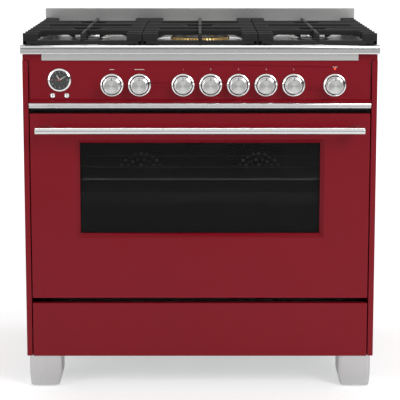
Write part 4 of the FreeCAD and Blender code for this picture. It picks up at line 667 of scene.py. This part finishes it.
def knob_face(centre):
    """The turned disc inside the rim, with a shallow dish: height falls with the square of the radius."""
    radius = np.linspace(0, 17.2, 24)
    height = 30.9 - 0.35 * (radius / 17.2) ** 2
    return lathe(joined(np.stack([radius, height], -1), [[17.2, 30.2]]) * MM, centre, FRONT, 96)


def knob(name, body):
    """One dial: grip, face, pointer and spindle; the pointer is a dark raised bar of painted shade, standing
    in for the shadow in the knob's pointer groove.
    """
    centre = dial_centre(name)
    grip = Surface().turned(knob_grip(centre))
    spindle = joined([[0, 8.0], [3.0, 8.0], [3.0, -25.9], [0, -25.9]]) * MM
    grip.turned(lathe(spindle, centre, FRONT, 32))
    # painted shade: a dark bar stands in for the shadow in the pointer groove of the knob's face
    lo = centre + np.array([-1.1, -32.0, 14.6]) * MM
    hi = centre + np.array([1.1, -27.0, 20.6]) * MM
    pointer_groove_shade = Surface().solid(soft_box(lo, hi, 0.4 * MM))
    piece(f"{name}_grip", grip, FINISHES["chrome_trim"], body, replaces=(name,))
    face = Surface().turned(knob_face(centre))
    disc = turned_metal(f"turned_{name}", (0.72, 0.72, 0.71), tuple(centre))
    piece(f"{name}_face", face, disc, body)
    piece(f"{name}_pointer", pointer_groove_shade, FINISHES["switch_plastic"], body)


class KnobBuilder(bpy.types.Operator):
    """Make the eight dials and their bezels"""
    bl_idname = "gas_range.knobs"
    bl_label = "Knobs"

    def execute(self, context):
        for name, body in KNOB_BODIES.items():
            knob(name, body)
        rings = Surface()
        for name in KNOB_BODIES:
            rings.grid(bezel(dial_centre(name), 24.0, 29.5, knurl=72), wrap_rows=True, wrap_columns=True)
        rings.grid(bezel(clock_centre(), 24.0, 30.0), wrap_rows=True, wrap_columns=True)
        piece("chrome_bezels", rings, FINISHES["chrome_trim"], "casing",
              replaces=("dial_bezels",))
        return {"FINISHED"}


def bezel(centre, inner, outer, knurl=0):
    """A ring with a rolled outer edge and a sloping inner wall; knurl cuts fine flutes on its shoulder."""
    profile = joined([[inner, 0], [outer, 0], [outer, 2.2]], arc((outer - 2.6, 3.0), 2.6, 0, 80, 8),
                     [[outer - 3.6, 6.3], [inner + 1.0, 6.9], [inner + 0.3, 6.0], [inner, 3.0]]) * MM

    def flutes(angle, height):
        """Radius times 1 - 0.6 % at each flute, on the shoulder only."""
        shoulder = np.clip((height / MM - 2.0) / 1.5, 0, 1) * np.clip((6.2 - height / MM) / 1.0, 0, 1)
        return 1 - 0.006 * shoulder * (0.5 + 0.5 * np.cos(knurl * angle))

    return lathe(profile, centre, FRONT, 4 * knurl if knurl else 128, flutes if knurl else None)


def clock_centre():
    centre = middle("clock_face")
    return np.array([centre[0], FASCIA_Y, centre[2]])


def clock_hand(centre, angle, length, tail, width, front):
    """A tapering blade: width falls evenly from the boss to the tip; angle is clockwise from 12."""
    along = np.array([-tail, -tail * 0.3, 0, 0.25, 0.6, 0.92, 1.0]) * length
    half = np.array([0.5, 0.8, 1.0, 0.9, 0.7, 0.45, 0.05]) * width / 2
    a = math.radians(angle)
    ahead, side = np.array([math.sin(a), 0, math.cos(a)]), np.array([math.cos(a), 0, -math.sin(a)])
    section = np.array([(-1, 0), (0, -0.25), (1, 0), (1, 0.5), (-1, 0.5)])
    spine = centre + along[:, None] * ahead
    return (spine[:, None] + half[:, None, None] * section[None, :, 0, None] * side
            + (section[None, :, 1, None] * 0.5 * MM - front) * np.array([0, 1.0, 0]))


HANDS = [
    # name, body, finish, node, angle, length, tail, width, height above the dial, in millimetres
    ("clock_hour_hand", "hour", "hand_white", "hour_hand", -32, 15.0, 0.15, 2.2, 0.35),
    ("clock_minute_hand", "minute", "hand_white", "minute_hand", 57, 19.0, 0.15, 1.7, 1.25),
    ("clock_timer_hand", "casing", "hand_red", None, -90, 20.5, 0.22, 0.9, 2.6),
]


class ClockBuilder(bpy.types.Operator):
    """Make the clock's marks, hands and glass, and its two buttons"""
    bl_idname = "gas_range.clock"
    bl_label = "Clock"

    def execute(self, context):
        centre = clock_centre()
        for name, body, finish, node, angle, length, tail, width, front in HANDS:
            blade = Surface().solid(clock_hand(centre, angle, length * MM, tail, width * MM, front * MM))
            boss = joined([[0, front + 0.5], [1.7, front + 0.3], [1.9, front], [1.9, front - 0.3],
                           [0, front - 0.3]])
            blade.turned(lathe(boss * MM, centre, FRONT, 32))
            piece(name, blade, FINISHES[finish], body, replaces=(node,) if node else ())
        piece("clock_marks", clock_marks(centre), FINISHES["ink"], "casing")
        dish = np.linspace(0, 23.9, 12)
        glass = np.stack([dish, 6.4 - 1.6 * (dish / 23.9) ** 2], -1)
        under = np.stack([dish, 5.6 - 1.6 * (dish / 23.9) ** 2], -1)[::-1]
        cover = Surface().turned(lathe(joined(glass, under) * MM, centre, FRONT, 64))
        piece("clock_cover", cover, FINISHES["clear_glass"], "casing")
        for side in ("left", "right"):
            clock_button(side)
        return {"FINISHED"}


def clock_marks(centre):
    """Twelve hour strokes, longer at the quarters, as thin raised blocks on a circle."""
    marks = Surface()
    for hour in range(12):
        a = hour * math.pi / 6
        length = (3.4 if hour % 3 == 0 else 1.8) * MM
        ahead, side = np.array([math.sin(a), 0, math.cos(a)]), np.array([math.cos(a), 0, -math.sin(a)])
        corners = np.array([(-0.45 * MM, 22 * MM - length), (0.45 * MM, 22 * MM - length),
                            (0.45 * MM, 22 * MM), (-0.45 * MM, 22 * MM)])
        flat = centre + corners[:, 0, None] * side + corners[:, 1, None] * ahead
        rise = np.array([0, -0.12 * MM, 0])
        marks.solid(np.stack([flat + rise * 0.1, flat + rise]))
    return marks


def clock_button(side):
    """A push button: a domed cap with a ring groove, and the flange behind the fascia."""
    name = f"timer_button_{side}"
    centre = dial_centre(name)
    profile = joined(
        [[0, -7.2], [3.1, -7.2], [3.1, -3.6], [8.2, -3.6], [8.2, -1.8], [6.2, -1.8], [6.2, 3.4]],
        arc((5.0, 3.6), 1.2, 0, 80, 6),
        [[4.4, 4.6], [3.9, 4.1], [3.4, 4.1], [2.9, 4.5], [1.5, 4.8], [0, 4.85]]) * MM
    button = Surface().turned(lathe(profile, centre, FRONT, 64))
    piece(f"clock_button_{side}", button, FINISHES["chrome_trim"], f"button_{side}",
          replaces=(name,))


# ---------------------------------------------------------------- rails and handle


def along_x(outline, x_lo, x_hi, inset=0.8 * MM):
    """An outline of (y, z) carried along X, with a small inset at both ends."""
    outline = np.asarray(outline, float)
    centre = (outline.min(0) + outline.max(0)) / 2
    places = [(x_lo, inset), (x_lo + inset * 0.3, inset * 0.3), (x_lo + inset, 0), (x_hi - inset, 0),
              (x_hi - inset * 0.3, inset * 0.3), (x_hi, inset)]
    rings = []
    for x, shrink in places:
        size = outline.max(0) - outline.min(0)
        ring = centre + (outline - centre) * (1 - 2 * shrink / size)
        rings.append(np.column_stack([np.full(len(ring), x), ring]))
    return np.stack(rings)


LAMP_Z = 0.835
SEGMENTS = {
    # bars of a digit two units wide and four high: centre across, centre up, width, height
    "a": (1, 4, 2, 0), "b": (2, 3, 0, 2), "c": (2, 1, 0, 2), "d": (1, 0, 2, 0),
    "e": (0, 1, 0, 2), "f": (0, 3, 0, 2), "g": (1, 2, 2, 0),
}
DIGITS = {1: "bc", 2: "abged", 3: "abgcd", 4: "fgbc", 5: "afgcd"}


def printed_bar(x, z, width, height):
    """A raised print mark on the fascia: a flat box a tenth of a millimetre high."""
    lo = (x - width / 2, FASCIA_Y - 0.12 * MM, z - height / 2)
    hi = (x + width / 2, FASCIA_Y - 0.01 * MM, z + height / 2)
    return soft_box(lo, hi, 0.03 * MM, 2)


class MarkBuilder(bpy.types.Operator):
    """Print the dial marks on the fascia and fit the lamp's lens"""
    bl_idname = "gas_range.marks"
    bl_label = "Dial marks and lamp"

    def execute(self, context):
        marks, unit, line = Surface(), 0.9 * MM, 0.42 * MM
        for number, name in enumerate(BURNER_KNOBS, 1):
            x, _, z = dial_centre(name)
            for bar in DIGITS[number]:
                across, up, width, height = SEGMENTS[bar]
                marks.solid(printed_bar(x + (across - 1) * unit, z + 38 * MM + up * unit,
                                       width * unit + line, height * unit + line))
        for name, lengths in (("function_knob", (3, 5, 2)), ("temperature_knob", (6, 4, 6, 5)),
                              ("clean_knob", (4, 6))):
            x, _, z = dial_centre(name)
            start = x - (sum(lengths) + 1.2 * (len(lengths) - 1)) * MM / 2
            rise = 46 * MM if name == "clean_knob" else 39.6 * MM
            for length in lengths:
                marks.solid(printed_bar(start + length * MM / 2, z + rise, length * MM, 1.5 * MM))
                start += (length + 1.2) * MM
        for side in ("left", "right"):
            x, _, z = dial_centre(f"timer_button_{side}")
            for i in (-1, 0, 1):
                marks.solid(printed_bar(x + i * 3.4 * MM, z - 9.5 * MM, 2.2 * MM, 1.1 * MM))
        piece("dial_marks", marks, FINISHES["ink"], "casing")
        lamp = np.array([dial_centre("clean_knob")[0], FASCIA_Y, LAMP_Z])
        lens = lathe(joined([[0, -0.5], [3.1, -0.5], [3.1, 0.9]], arc((1.6, 0.9), 1.5, 0, 85, 6),
                            [[0, 2.45]]) * MM,
                     lamp, FRONT, 40)
        piece("lamp_lens", Surface().turned(lens), FINISHES["lamp_red"], "casing")
        return {"FINISHED"}


HANDLE_POST_X = 392 * MM


class RailBuilder(bpy.types.Operator):
    """Make the cooktop's front rail, the chrome trim, the door handle and its posts"""
    bl_idname = "gas_range.rails"
    bl_label = "Rails and handle"

    def execute(self, context):
        lo, hi = low("cooktop_rail"), high("cooktop_rail")
        y, z, back, top = lo[1], lo[2], hi[1], hi[2]
        outline = joined(
            [[back, z]], [[y + 3 * MM, z]], arc((y + 2.0 * MM, z + 2.0 * MM), 2.0 * MM, -90, -180, 5),
            [[y, z + 5.0 * MM], [y + 0.9 * MM, z + 5.5 * MM], [y + 0.9 * MM, z + 6.1 * MM],
             [y, z + 6.6 * MM]],
            arc((y + 6.5 * MM, top - 6.5 * MM), 6.5 * MM, -180, -270, 10), [[back, top]])
        bar = Surface().solid(along_x(outline, lo[0], hi[0]))
        piece("front_rail", bar, FINISHES["rail_steel"], "casing", replaces=("cooktop_rail",))
        self.trim()
        self.handle()
        return {"FINISHED"}

    def trim(self):
        """Two round beads joined by a hollow cove."""
        lo, hi = low("fascia_trim"), high("fascia_trim")
        upper, small = 3.4 * MM, 2.2 * MM
        y_upper, z_upper = lo[1] + upper, hi[2] - 0.75 * MM - upper
        y_lower, z_lower = lo[1] + upper + 1.5 * MM, lo[2] + small
        outline = joined(
            [[hi[1], hi[2]], [y_upper + 2 * MM, hi[2]]], arc((y_upper, z_upper), upper, 80, 260, 14),
            [[y_upper + 2.2 * MM, z_upper - upper - 0.4 * MM],
             [y_upper + 2.2 * MM, z_lower + small + 0.4 * MM]],
            arc((y_lower, z_lower), small, 100, 260, 10), [[hi[1], lo[2]]])
        beads = Surface().solid(along_x(outline[::-1], lo[0], hi[0]))
        piece("lower_trim", beads, FINISHES["chrome_trim"], "casing",
              replaces=("fascia_trim",))

    def handle(self):
        """A round bar with rolled ends on two flared posts."""
        lo, hi = low("door_handle"), high("door_handle")
        radius = (hi[2] - lo[2]) / 2
        centre = np.array([lo[0], lo[1] + radius, (lo[2] + hi[2]) / 2])
        length = hi[0] - lo[0]
        turn, roll = np.linspace(0, np.pi / 2, 8), 2.5 * MM
        cap = np.stack([radius - roll + roll * np.sin(turn), roll - roll * np.cos(turn)], -1)
        far_cap = np.stack([cap[::-1, 0], length - cap[::-1, 1]], -1)
        profile = joined([[0, 0]], cap, [[radius, length / 2]], far_cap, [[0, length]])
        bar = Surface().turned(lathe(profile, centre, (1, 0, 0), 64))
        for side in (-1, 1):
            x = side * HANDLE_POST_X
            rings = []
            for y, width, height in ((hi[1], 27, 17), (hi[1] - 3 * MM, 26, 16), (hi[1] - 8 * MM, 22.5, 12.5),
                                     (hi[1] - 30 * MM, 21, 11.5), (centre[1] + 1 * MM, 21, 11.5)):
                ring = rounded_rectangle(width * MM, height * MM, 3.5 * MM)
                rings.append(np.column_stack([ring[:, 0] + x, np.full(len(ring), y), ring[:, 1] + centre[2]]))
            bar.solid(np.stack(rings))
        piece("oven_handle", bar, FINISHES["rail_steel"], "door", replaces=("door_handle",))


# ---------------------------------------------------------------- cooktop

CAP_STAND = 12.0 * MM
HOB_Z = low("burner_caps")[2] - CAP_STAND
GUARD_Y = low("backguard")[1]
BURNER_X = middle("grate_right")[0]
GRATE_Y = low("grate_left")[1]
BAR_PITCH = 58.8 * MM
HALF_BAR = 5 * MM
FRONT_BURNER_Y = GRATE_Y + HALF_BAR + 3 * BAR_PITCH
REAR_BURNER_Y = GRATE_Y + HALF_BAR + 7 * BAR_PITCH
WOK_Y = GRATE_Y + HALF_BAR + 5 * BAR_PITCH
CORNER_BURNERS = [(sx * BURNER_X, y) for sx in (-1, 1) for y in (FRONT_BURNER_Y, REAR_BURNER_Y)]


def ease(t):
    """Smooth step 3t^2 - 2t^3 between 0 and 1."""
    t = np.clip(t, 0, 1)
    return t * t * (3 - 2 * t)


def hob_height(x, y):
    """Rise of the pressed plate: full between the wells, falling to none inside each burner's round well."""
    rise = np.ones_like(x)
    for bx, by in CORNER_BURNERS:
        rise = np.minimum(rise, ease((np.hypot(x - bx, y - by) - 84 * MM) / (11 * MM)))
    rise = np.minimum(rise, ease((np.hypot(x, y - WOK_Y) - 110 * MM) / (12 * MM)))
    return rise


class HobBuilder(bpy.types.Operator):
    """Make the hob's pressed plate with its wells, and the five burners"""
    bl_idname = "gas_range.hob"
    bl_label = "Hob and burners"

    def execute(self, context):
        half = 440 * MM
        front, back = low("cooktop_tray")[1] + 0.6 * MM, GUARD_Y - 0.6 * MM
        x, y = np.meshgrid(np.linspace(-half, half, 331), np.linspace(front, back, 221), indexing="ij")
        edge = np.minimum.reduce([x + half, half - x, y - y[0, 0], y[0, -1] - y])
        rise = (0.4 + 3.6 * hob_height(x, y) * ease(edge / (9 * MM))) * MM
        plate = Surface().grid(np.stack([x, y, HOB_Z + rise], -1)[:, ::-1])
        rim = joined(*[np.column_stack([x[s], y[s]]) for s in
                       ((slice(None), 0), (-1, slice(None)), (slice(None, None, -1), -1),
                        (0, slice(None, None, -1)))])
        rings = [np.column_stack([rim, np.full(len(rim), HOB_Z + z * MM)]) for z in (0.05, 0.4)]
        plate.turned(np.stack(rings))
        piece("hob_pressing", plate, FINISHES["hob_steel"], "casing", smooth=60)
        self.corner_burners()
        self.wok_burner()
        return {"FINISHED"}

    def corner_burners(self):
        bases, heads, caps, pins, tips = (Surface() for _ in range(5))
        for bx, by in CORNER_BURNERS:
            at = (bx, by, HOB_Z)
            bases.turned(lathe(joined([[0, 0.3], [53, 0.3], [53, 1.2]], arc((51.5, 1.4), 1.5, 0, 80, 4),
                                    [[46.5, 4.6], [44.5, 5.0], [41.5, 4.6], [41, 3.4], [0, 3.4]]) * MM, at,
                                    count=96))
            heads.turned(burner_head(at, 40.0, 3.2, 12.0, 30))
            caps.turned(lathe(joined([[0, 11.9], [41.5, 11.9], [42.6, 12.5]],
                                     arc((41.2, 13.8), 1.6, -20, 70, 5),
                                   [[38, 16.4], [34, 17.1], [31, 17.3], [28, 17.0], [12, 16.6],
                                    [0, 16.5]]) * MM, at))
            for angle, tip in ((215, 11.0), (325, 8.5)):
                a = math.radians(angle)
                foot = (bx + 46.5 * MM * math.cos(a), by + 46.5 * MM * math.sin(a), HOB_Z)
                pin = joined([[0, 3], [2.6, 3], [2.6, 7.0], [1.9, 7.6], [1.9, tip - 1.2],
                              [0, tip - 1.2]]) * MM
                wire = joined([[0, tip - 2], [0.8, tip - 2], [0.8, tip + 1.2], [0, tip + 1.6]]) * MM
                pins.turned(lathe(pin, foot, count=20))
                tips.turned(lathe(wire, foot, count=12))
        piece("burner_flanges", bases, FINISHES["burner_alloy"], "casing",
              replaces=("burner_bases",))
        piece("burner_heads", heads, FINISHES["burner_teeth"], "casing")
        piece("burner_lids", caps, FINISHES["cap_enamel"], "casing", replaces=("burner_caps",))
        piece("igniter_pins", pins, FINISHES["ceramic"], "casing")
        piece("igniter_tips", tips, FINISHES["chrome_trim"], "casing")

    def wok_burner(self):
        at = (0.0, WOK_Y, HOB_Z)
        bowl = joined([[0, 0.3], [100, 0.3], [100, 1.4], [97, 3.2], [93, 3.6], [89, 2.6], [83, 2.2],
                       [53, 2.2],
                       [50, 3.0], [31, 3.0], [0, 3.0]]) * MM
        piece("wok_bowl", Surface().turned(lathe(bowl, at, count=128)), FINISHES["burner_alloy"],
              "casing")
        teeth = comb(56)
        ring = joined([[54, 2.9], [79.6, 2.9], [80, 4.0], [80, 5.0], [79.6, 11.0], [78.2, 12.0],
                       [55.5, 12.0], [54, 11.0]]) * MM

        def slots(angle, height):
            """Radius less 3.5 % in each slot, on the ring's side only."""
            return 1 - teeth(angle) * 0.035 * ((height > 6 * MM) & (height < 11.5 * MM))

        brass = Surface().grid(lathe(ring, at, count=448, wobble=slots), wrap_rows=True, wrap_columns=True)
        brass.turned(burner_head(at, 28.0, 2.9, 12.0, 20))
        piece("wok_brass", brass, FINISHES["burner_brass"], "casing",
              replaces=("wok_burner_rings",))
        lid = joined([[51, 12.0], [76, 12.0], [76.6, 13.2], [74.5, 15.6], [71, 16.2], [58, 16.2],
                      [53, 15.4], [51, 13.4]]) * MM
        lids = Surface().grid(lathe(lid, at, count=128), wrap_rows=True, wrap_columns=True)
        lids.turned(lathe(joined([[0, 12.0], [27.4, 12.0], [28, 13.2], [26, 15.6], [22, 16.2],
                                  [0, 15.8]]) * MM, at))
        piece("wok_lids", lids, FINISHES["cap_enamel"], "casing")


def comb(count):
    """A square wave of the angle, 1 over two fifths of each of count equal steps."""
    return lambda angle: ((angle * count / (2 * np.pi)) % 1.0 < 0.4).astype(float)


def burner_head(at, radius, low_z, high_z, count):
    """A slotted head: teeth stand out by a twelfth of the radius between a plain foot and the rim."""
    wave = comb(count)
    span = high_z - low_z
    heights = [low_z, low_z + 0.28 * span, low_z + 0.36 * span, low_z + 0.94 * span, high_z]
    profile = joined([[0, low_z]], [[radius, heights[0]], [radius, heights[1]], [radius * 0.985, heights[2]],
                                    [radius * 0.975, heights[3]], [radius * 0.955, heights[4]]],
                                    [[0, high_z]]) * MM
    cut_from = heights[1] * MM + 1e-5
    return lathe(profile, at, count=count * 10,
                 wobble=lambda a, h: 1 - 0.085 * wave(a) * (h > cut_from))


# ---------------------------------------------------------------- grates


def section(half, under, top):
    """Outline of a cast bar: wide foot, drafted sides and a crowned top with rounded shoulders."""
    radius = min(2.2 * MM, 0.3 * half + 0.2 * MM)
    crown = half * 0.82 - radius
    draft = 0.8 * MM
    return joined([[-half, under + draft], [-half + draft, under], [half - draft, under],
                   [half, under + draft]],
                  arc((crown, top - radius), radius, 5, 80, 4), [[0, top]],
                  arc((-crown, top - radius), radius, 100, 175, 4))


def cast_bar(start, end, stations):
    """A bar from start to end: each station is (share of the length, half width, underside, top)."""
    start, end = np.asarray(start, float), np.asarray(end, float)
    along = end - start
    side = np.array([-along[1], along[0]]) / np.linalg.norm(along)
    rings = []
    for share, half, under, top in stations:
        outline = section(half, under, top)
        spot = start + along * share
        rings.append(np.column_stack([spot[None] + outline[:, :1] * side[None], outline[:, 1]]))
    return np.stack(rings)


def straight(length, half, under, top, rise=0.0, lip=1.2 * MM):
    """Stations of a bar with softened ends whose underside rises between its two feet."""
    e, foot = lip / length, min(0.2, 40 * MM / length)
    plan = [(0, 0.72, 0.06), (e * 0.35, 0.92, 0.02), (e, 1, 0), (foot, 1, 0), (foot * 1.4, 0.92, 0),
            (0.5, 0.9, 0)]
    both = plan + [(1 - share, width, drop) for share, width, drop in plan[-2::-1]]
    lift = [0, 0, 0, 0, 1, 1, 1, 0, 0, 0, 0]
    return [(share, half * width, under + up * rise, top - drop * (top - under))
            for (share, width, drop), up in zip(both, lift)]


def finger(length, half, under, top, bulb=1.35):
    """Stations of a finger: plain at its root, swelling and drooping into a rounded tip."""
    e = 1.0 / length * MM
    return [(0, half * 0.7, under, top - 1 * MM), (e, half, under, top),
            (1 - 24 * e, half * 0.86, under + 3 * MM, top),
            (1 - 15 * e, half * bulb * 0.95, under - 1 * MM, top),
            (1 - 8 * e, half * bulb, under - 5 * MM, top),
            (1 - 3 * e, half * bulb * 0.92, under - 6 * MM, top - 1.2 * MM),
            (1 - 0.8 * e, half * bulb * 0.66, under - 5 * MM, top - 3.6 * MM),
            (1, half * bulb * 0.3, under - 3 * MM, top - 6.5 * MM)]


class GrateBuilder(bpy.types.Operator):
    """Make the three cast grates"""
    bl_idname = "gas_range.grates"
    bl_label = "Grates"

    def execute(self, context):
        for name, body in GRATES.items():
            grate(name, body, (5,) if name == "grate_centre" else (3, 7))
        return {"FINISHED"}


def grate(name, body, burner_rows):
    lo, hi = low(name), high(name)
    half, frame_low, frame_top = HALF_BAR, lo[2] + 13 * MM, lo[2] + 24 * MM
    top, mid = hi[2], (lo[0] + hi[0]) / 2
    iron = Surface()
    for x in (lo[0] + half, hi[0] - half):
        iron.solid(cast_bar((x, lo[1]), (x, hi[1]),
                            straight(hi[1] - lo[1], half, frame_low, frame_top + 1 * MM)))
    for y in (lo[1] + half, hi[1] - half):
        iron.solid(cast_bar((lo[0], y), (hi[0], y), straight(hi[0] - lo[0], half, frame_low, frame_top)))
    width = hi[0] - lo[0]
    for row in range(11):
        y = lo[1] + half + row * BAR_PITCH
        under = frame_top - 0.5 * MM
        if row % 2 == 0 and 0 < row < 10:
            iron.solid(cast_bar((lo[0], y), (hi[0], y), straight(width, half, under, top, 5 * MM)))
            continue
        reach = width / 2 - 32 * MM if row in burner_rows else 38 * MM
        for root, way in ((lo[0], 1), (hi[0], -1)):
            iron.solid(cast_bar((root, y), (root + way * reach, y),
                               finger(reach, half, under, top) if row in burner_rows
                               else straight(reach, half, under, top)))
    iron_spine(iron, mid, lo, hi, burner_rows, frame_top, top)
    for x in (lo[0] + 14 * MM, hi[0] - 28 * MM):
        for y in (lo[1] + 14 * MM, hi[1] - 28 * MM):
            iron.solid(soft_box((x, y, HOB_Z + 4 * MM), (x + 14 * MM, y + 14 * MM, frame_top), 2.5 * MM))
            pad = lathe(joined([[0, 0.1], [6.0, 0.1], [6.6, 0.8], [6.6, 4.0], [5.6, 5.0], [0, 5.0]]) * MM,
                        (x + 7 * MM, y + 7 * MM, HOB_Z), count=24)
            iron.turned(pad)
            corner_x = lo[0] if x < mid else x
            iron.solid(soft_box((corner_x, min(y, max(lo[1], y - 14 * MM)), frame_low),
                               (corner_x + 28 * MM, min(hi[1], y + 28 * MM), frame_top), 2 * MM))
    piece(f"{name}_iron", iron, FINISHES["cast_grate"], body, smooth=50, replaces=(name,))


def iron_spine(iron, mid, lo, hi, burner_rows, frame_top, top):
    """The ribs down the middle of a grate, broken round each burner by two rounded finger tips."""
    half, under = 4.6 * MM, frame_top - 0.5 * MM
    centres = [lo[1] + HALF_BAR + row * BAR_PITCH for row in burner_rows]
    clear = 32 * MM
    ends = [lo[1]] + [c + s * clear for c in centres for s in (-1, 1)] + [hi[1]]
    iron.solid(cast_bar((mid, ends[0]), (mid, ends[1]), finger(ends[1] - ends[0], half, under, top)))
    iron.solid(cast_bar((mid, ends[-1]), (mid, ends[-2]), finger(ends[-1] - ends[-2], half, under, top)))
    if len(centres) == 2:
        middle_y = (ends[2] + ends[3]) / 2
        for end in (ends[2], ends[3]):
            iron.solid(cast_bar((mid, middle_y), (mid, end), finger(abs(end - middle_y), half, under, top)))


# ---------------------------------------------------------------- legs


BOOT_TAPER = [
    # height, how far the inner and the outer side draw in, how far front and back draw in, in millimetres
    (85, 0, 0, 0), (60, 0, 0, 0), (36, 0, 0, 0), (33, 0.3, 0, 0.1),
    (30, 1.0, 0.2, 0.4), (12, 5.8, 1.6, 2.0), (5, 7.6, 2.3, 2.6), (3, 8.6, 3.2, 3.4),
]


class LegBuilder(bpy.types.Operator):
    """Make the four leg boots"""
    bl_idname = "gas_range.legs"
    bl_label = "Legs"

    def execute(self, context):
        boots = Surface()
        box_lo, box_hi = low("leg_boots"), high("leg_boots")
        for sx in (-1, 1):
            for y_mid in (box_lo[1] + 40 * MM, box_hi[1] - 40 * MM):
                x_mid = sx * (box_hi[0] - 42.5 * MM)
                rings = []
                for z, inner, outer, shrink in BOOT_TAPER:
                    width, depth = 85 - inner - outer, 80 - 2 * shrink
                    shift = sx * (inner - outer) / 2
                    ring = rounded_rectangle(width * MM, depth * MM, 10 * MM, 6)
                    rings.append(np.column_stack([ring[:, 0] + x_mid + shift * MM, ring[:, 1] + y_mid,
                                                  np.full(len(ring), z * MM)]))
                boots.solid(np.stack(rings))
        piece("boot_shells", boots, FINISHES["stainless_upright"], "casing", smooth=50,
              replaces=("leg_boots",))
        return {"FINISHED"}


CAD_FINISHES = {
    "red_enamel": ["left_side_panel", "right_side_panel", "control_fascia", "door_outer_panel",
                   "drawer_front"],
    "stainless": ["backguard", "cooktop_tray", "cooktop_rail", "vent_strip"],
    "stainless_upright": ["leg_boots"],
    "zinc_steel": ["rear_panel", "base_tray", "drawer_runners", "drawer_box", "drawer_slides",
                   "door_hinge_yokes"],
    "rubber_foot": ["levelling_feet"],
    "oven_enamel": ["oven_liner", "fan_baffle", "door_inner_panel"],
    "seal_cord": ["door_seal"],
    "chrome_trim": ["fascia_trim", "rack_guides", "dial_bezels", "oven_rack_upper", "oven_rack_lower",
                    "door_handle",
                    "timer_button_left", "timer_button_right"] + BURNER_KNOBS + OVEN_KNOBS,
    "motor_steel": ["fan_motors"],
    "element_sheath": ["heating_elements"],
    "clock_dial": ["clock_face"],
    "hand_white": ["hour_hand", "minute_hand"],
    "switch_plastic": ["oven_switches"],
    "tap_brass": ["gas_taps"] + [f"tap_plug_{i}" for i in range(1, 6)],
    "pipe_steel": ["gas_pipework"],
    "burner_alloy": ["burner_bases"],
    "burner_brass": ["wok_burner_rings"],
    "cap_enamel": ["burner_caps"],
    "pan_enamel": ["roasting_pan"],
    "dark_glass": ["door_glass"],
    "fan_steel": ["fan_left", "fan_right"],
    "cast_grate": list(GRATES),
}


SHEET_FINISHES = {"red_enamel", "stainless", "zinc_steel"}


SCREW_RADIUS = 3.6 * MM
SCREW_HEIGHT = 1.5 * MM


def pan_screw(centre, axis):
    """A domed screw head with a shallow round recess: a low arc turned about its own axis."""
    dome = arc((0.0, 0.0), 1.0, 10, 62, 6)
    rim = np.column_stack([dome[:, 0] * SCREW_RADIUS, dome[:, 1] * SCREW_HEIGHT])
    profile = joined([[SCREW_RADIUS, -0.3 * MM]], rim,
                     [[1.35 * MM, SCREW_HEIGHT * 0.9], [1.2 * MM, 0.3 * MM], [0, 0.2 * MM]])
    return lathe(profile, centre, axis, 24)


class ScrewBuilder(bpy.types.Operator):
    """Make the screws that hold the rear panel"""
    bl_idname = "gas_range.screws"
    bl_label = "Rear screws"

    def execute(self, context):
        lo, hi = low("rear_panel"), high("rear_panel")
        screws = Surface()
        for x in np.linspace(lo[0] + 12 * MM, hi[0] - 12 * MM, 5):
            for z in (lo[2] + 12 * MM, hi[2] - 12 * MM):
                screws.turned(pan_screw((x, hi[1], z), (0, 1, 0)))
        for z in np.linspace(lo[2] + 12 * MM, hi[2] - 12 * MM, 5)[1:-1]:
            for x in (lo[0] + 12 * MM, hi[0] - 12 * MM):
                screws.turned(pan_screw((x, hi[1], z), (0, 1, 0)))
        piece("rear_screws", screws, FINISHES["screw_zinc"], "casing", smooth=35)
        return {"FINISHED"}


def soften(thing, radius):
    """Welds a folded sheet's triangles and rounds its sharp edges."""
    weld = thing.modifiers.new("weld", "WELD")
    weld.merge_threshold = 0.01 * MM
    fold = thing.modifiers.new("fold", "BEVEL")
    fold.width, fold.segments = radius * 0.6, 3
    fold.limit_method, fold.angle_limit = "ANGLE", math.radians(38)
    fold.use_clamp_overlap = True
    fold.harden_normals = False


class CasingFinisher(bpy.types.Operator):
    """Give every node of the frame its finish, and folded sheets their rounded edges"""
    bl_idname = "gas_range.finishes"
    bl_label = "Finishes"

    def execute(self, context):
        make_finishes()
        for finish, names in CAD_FINISHES.items():
            for name in names:
                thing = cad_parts[name]
                thing.data.materials.clear()
                thing.data.materials.append(FINISHES[finish])
                if finish in SHEET_FINISHES:
                    soften(thing, context.scene.range_paint.edge)
        left = set(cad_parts) - {n for names in CAD_FINISHES.values() for n in names}
        if left:
            raise RuntimeError(f"nodes without a finish: {sorted(left)}")
        return {"FINISHED"}


STEPS = [StageBuilder, CasingFinisher, KnobBuilder, ClockBuilder, MarkBuilder, RailBuilder, HobBuilder,
         GrateBuilder,
         LegBuilder, ScrewBuilder]
CLASSES = [RangePaint, RangeStudio] + STEPS


class RangePanel(bpy.types.Panel):
    """Lists the steps that build the range"""
    bl_idname = "VIEW3D_PT_gas_range"
    bl_label = "Gas Range"
    bl_space_type = "VIEW_3D"
    bl_region_type = "UI"
    bl_category = "Range"

    def draw(self, context):
        for group in (context.scene.range_paint, context.scene.range_studio):
            for name in group.bl_rna.properties.keys():
                if name not in {"rna_type", "name"}:
                    self.layout.prop(group, name)
        for step in STEPS:
            self.layout.operator(step.bl_idname)


def register():
    for cls in CLASSES + [RangePanel]:
        bpy.utils.register_class(cls)
    bpy.types.Scene.range_paint = bpy.props.PointerProperty(type=RangePaint)
    bpy.types.Scene.range_studio = bpy.props.PointerProperty(type=RangeStudio)


def unregister():
    del bpy.types.Scene.range_studio
    del bpy.types.Scene.range_paint
    for cls in reversed(CLASSES + [RangePanel]):
        bpy.utils.unregister_class(cls)


def main():
    register()
    for step in STEPS:
        group, name = step.bl_idname.split(".")
        getattr(getattr(bpy.ops, group), name)()


if __name__ == "__main__":
    main()
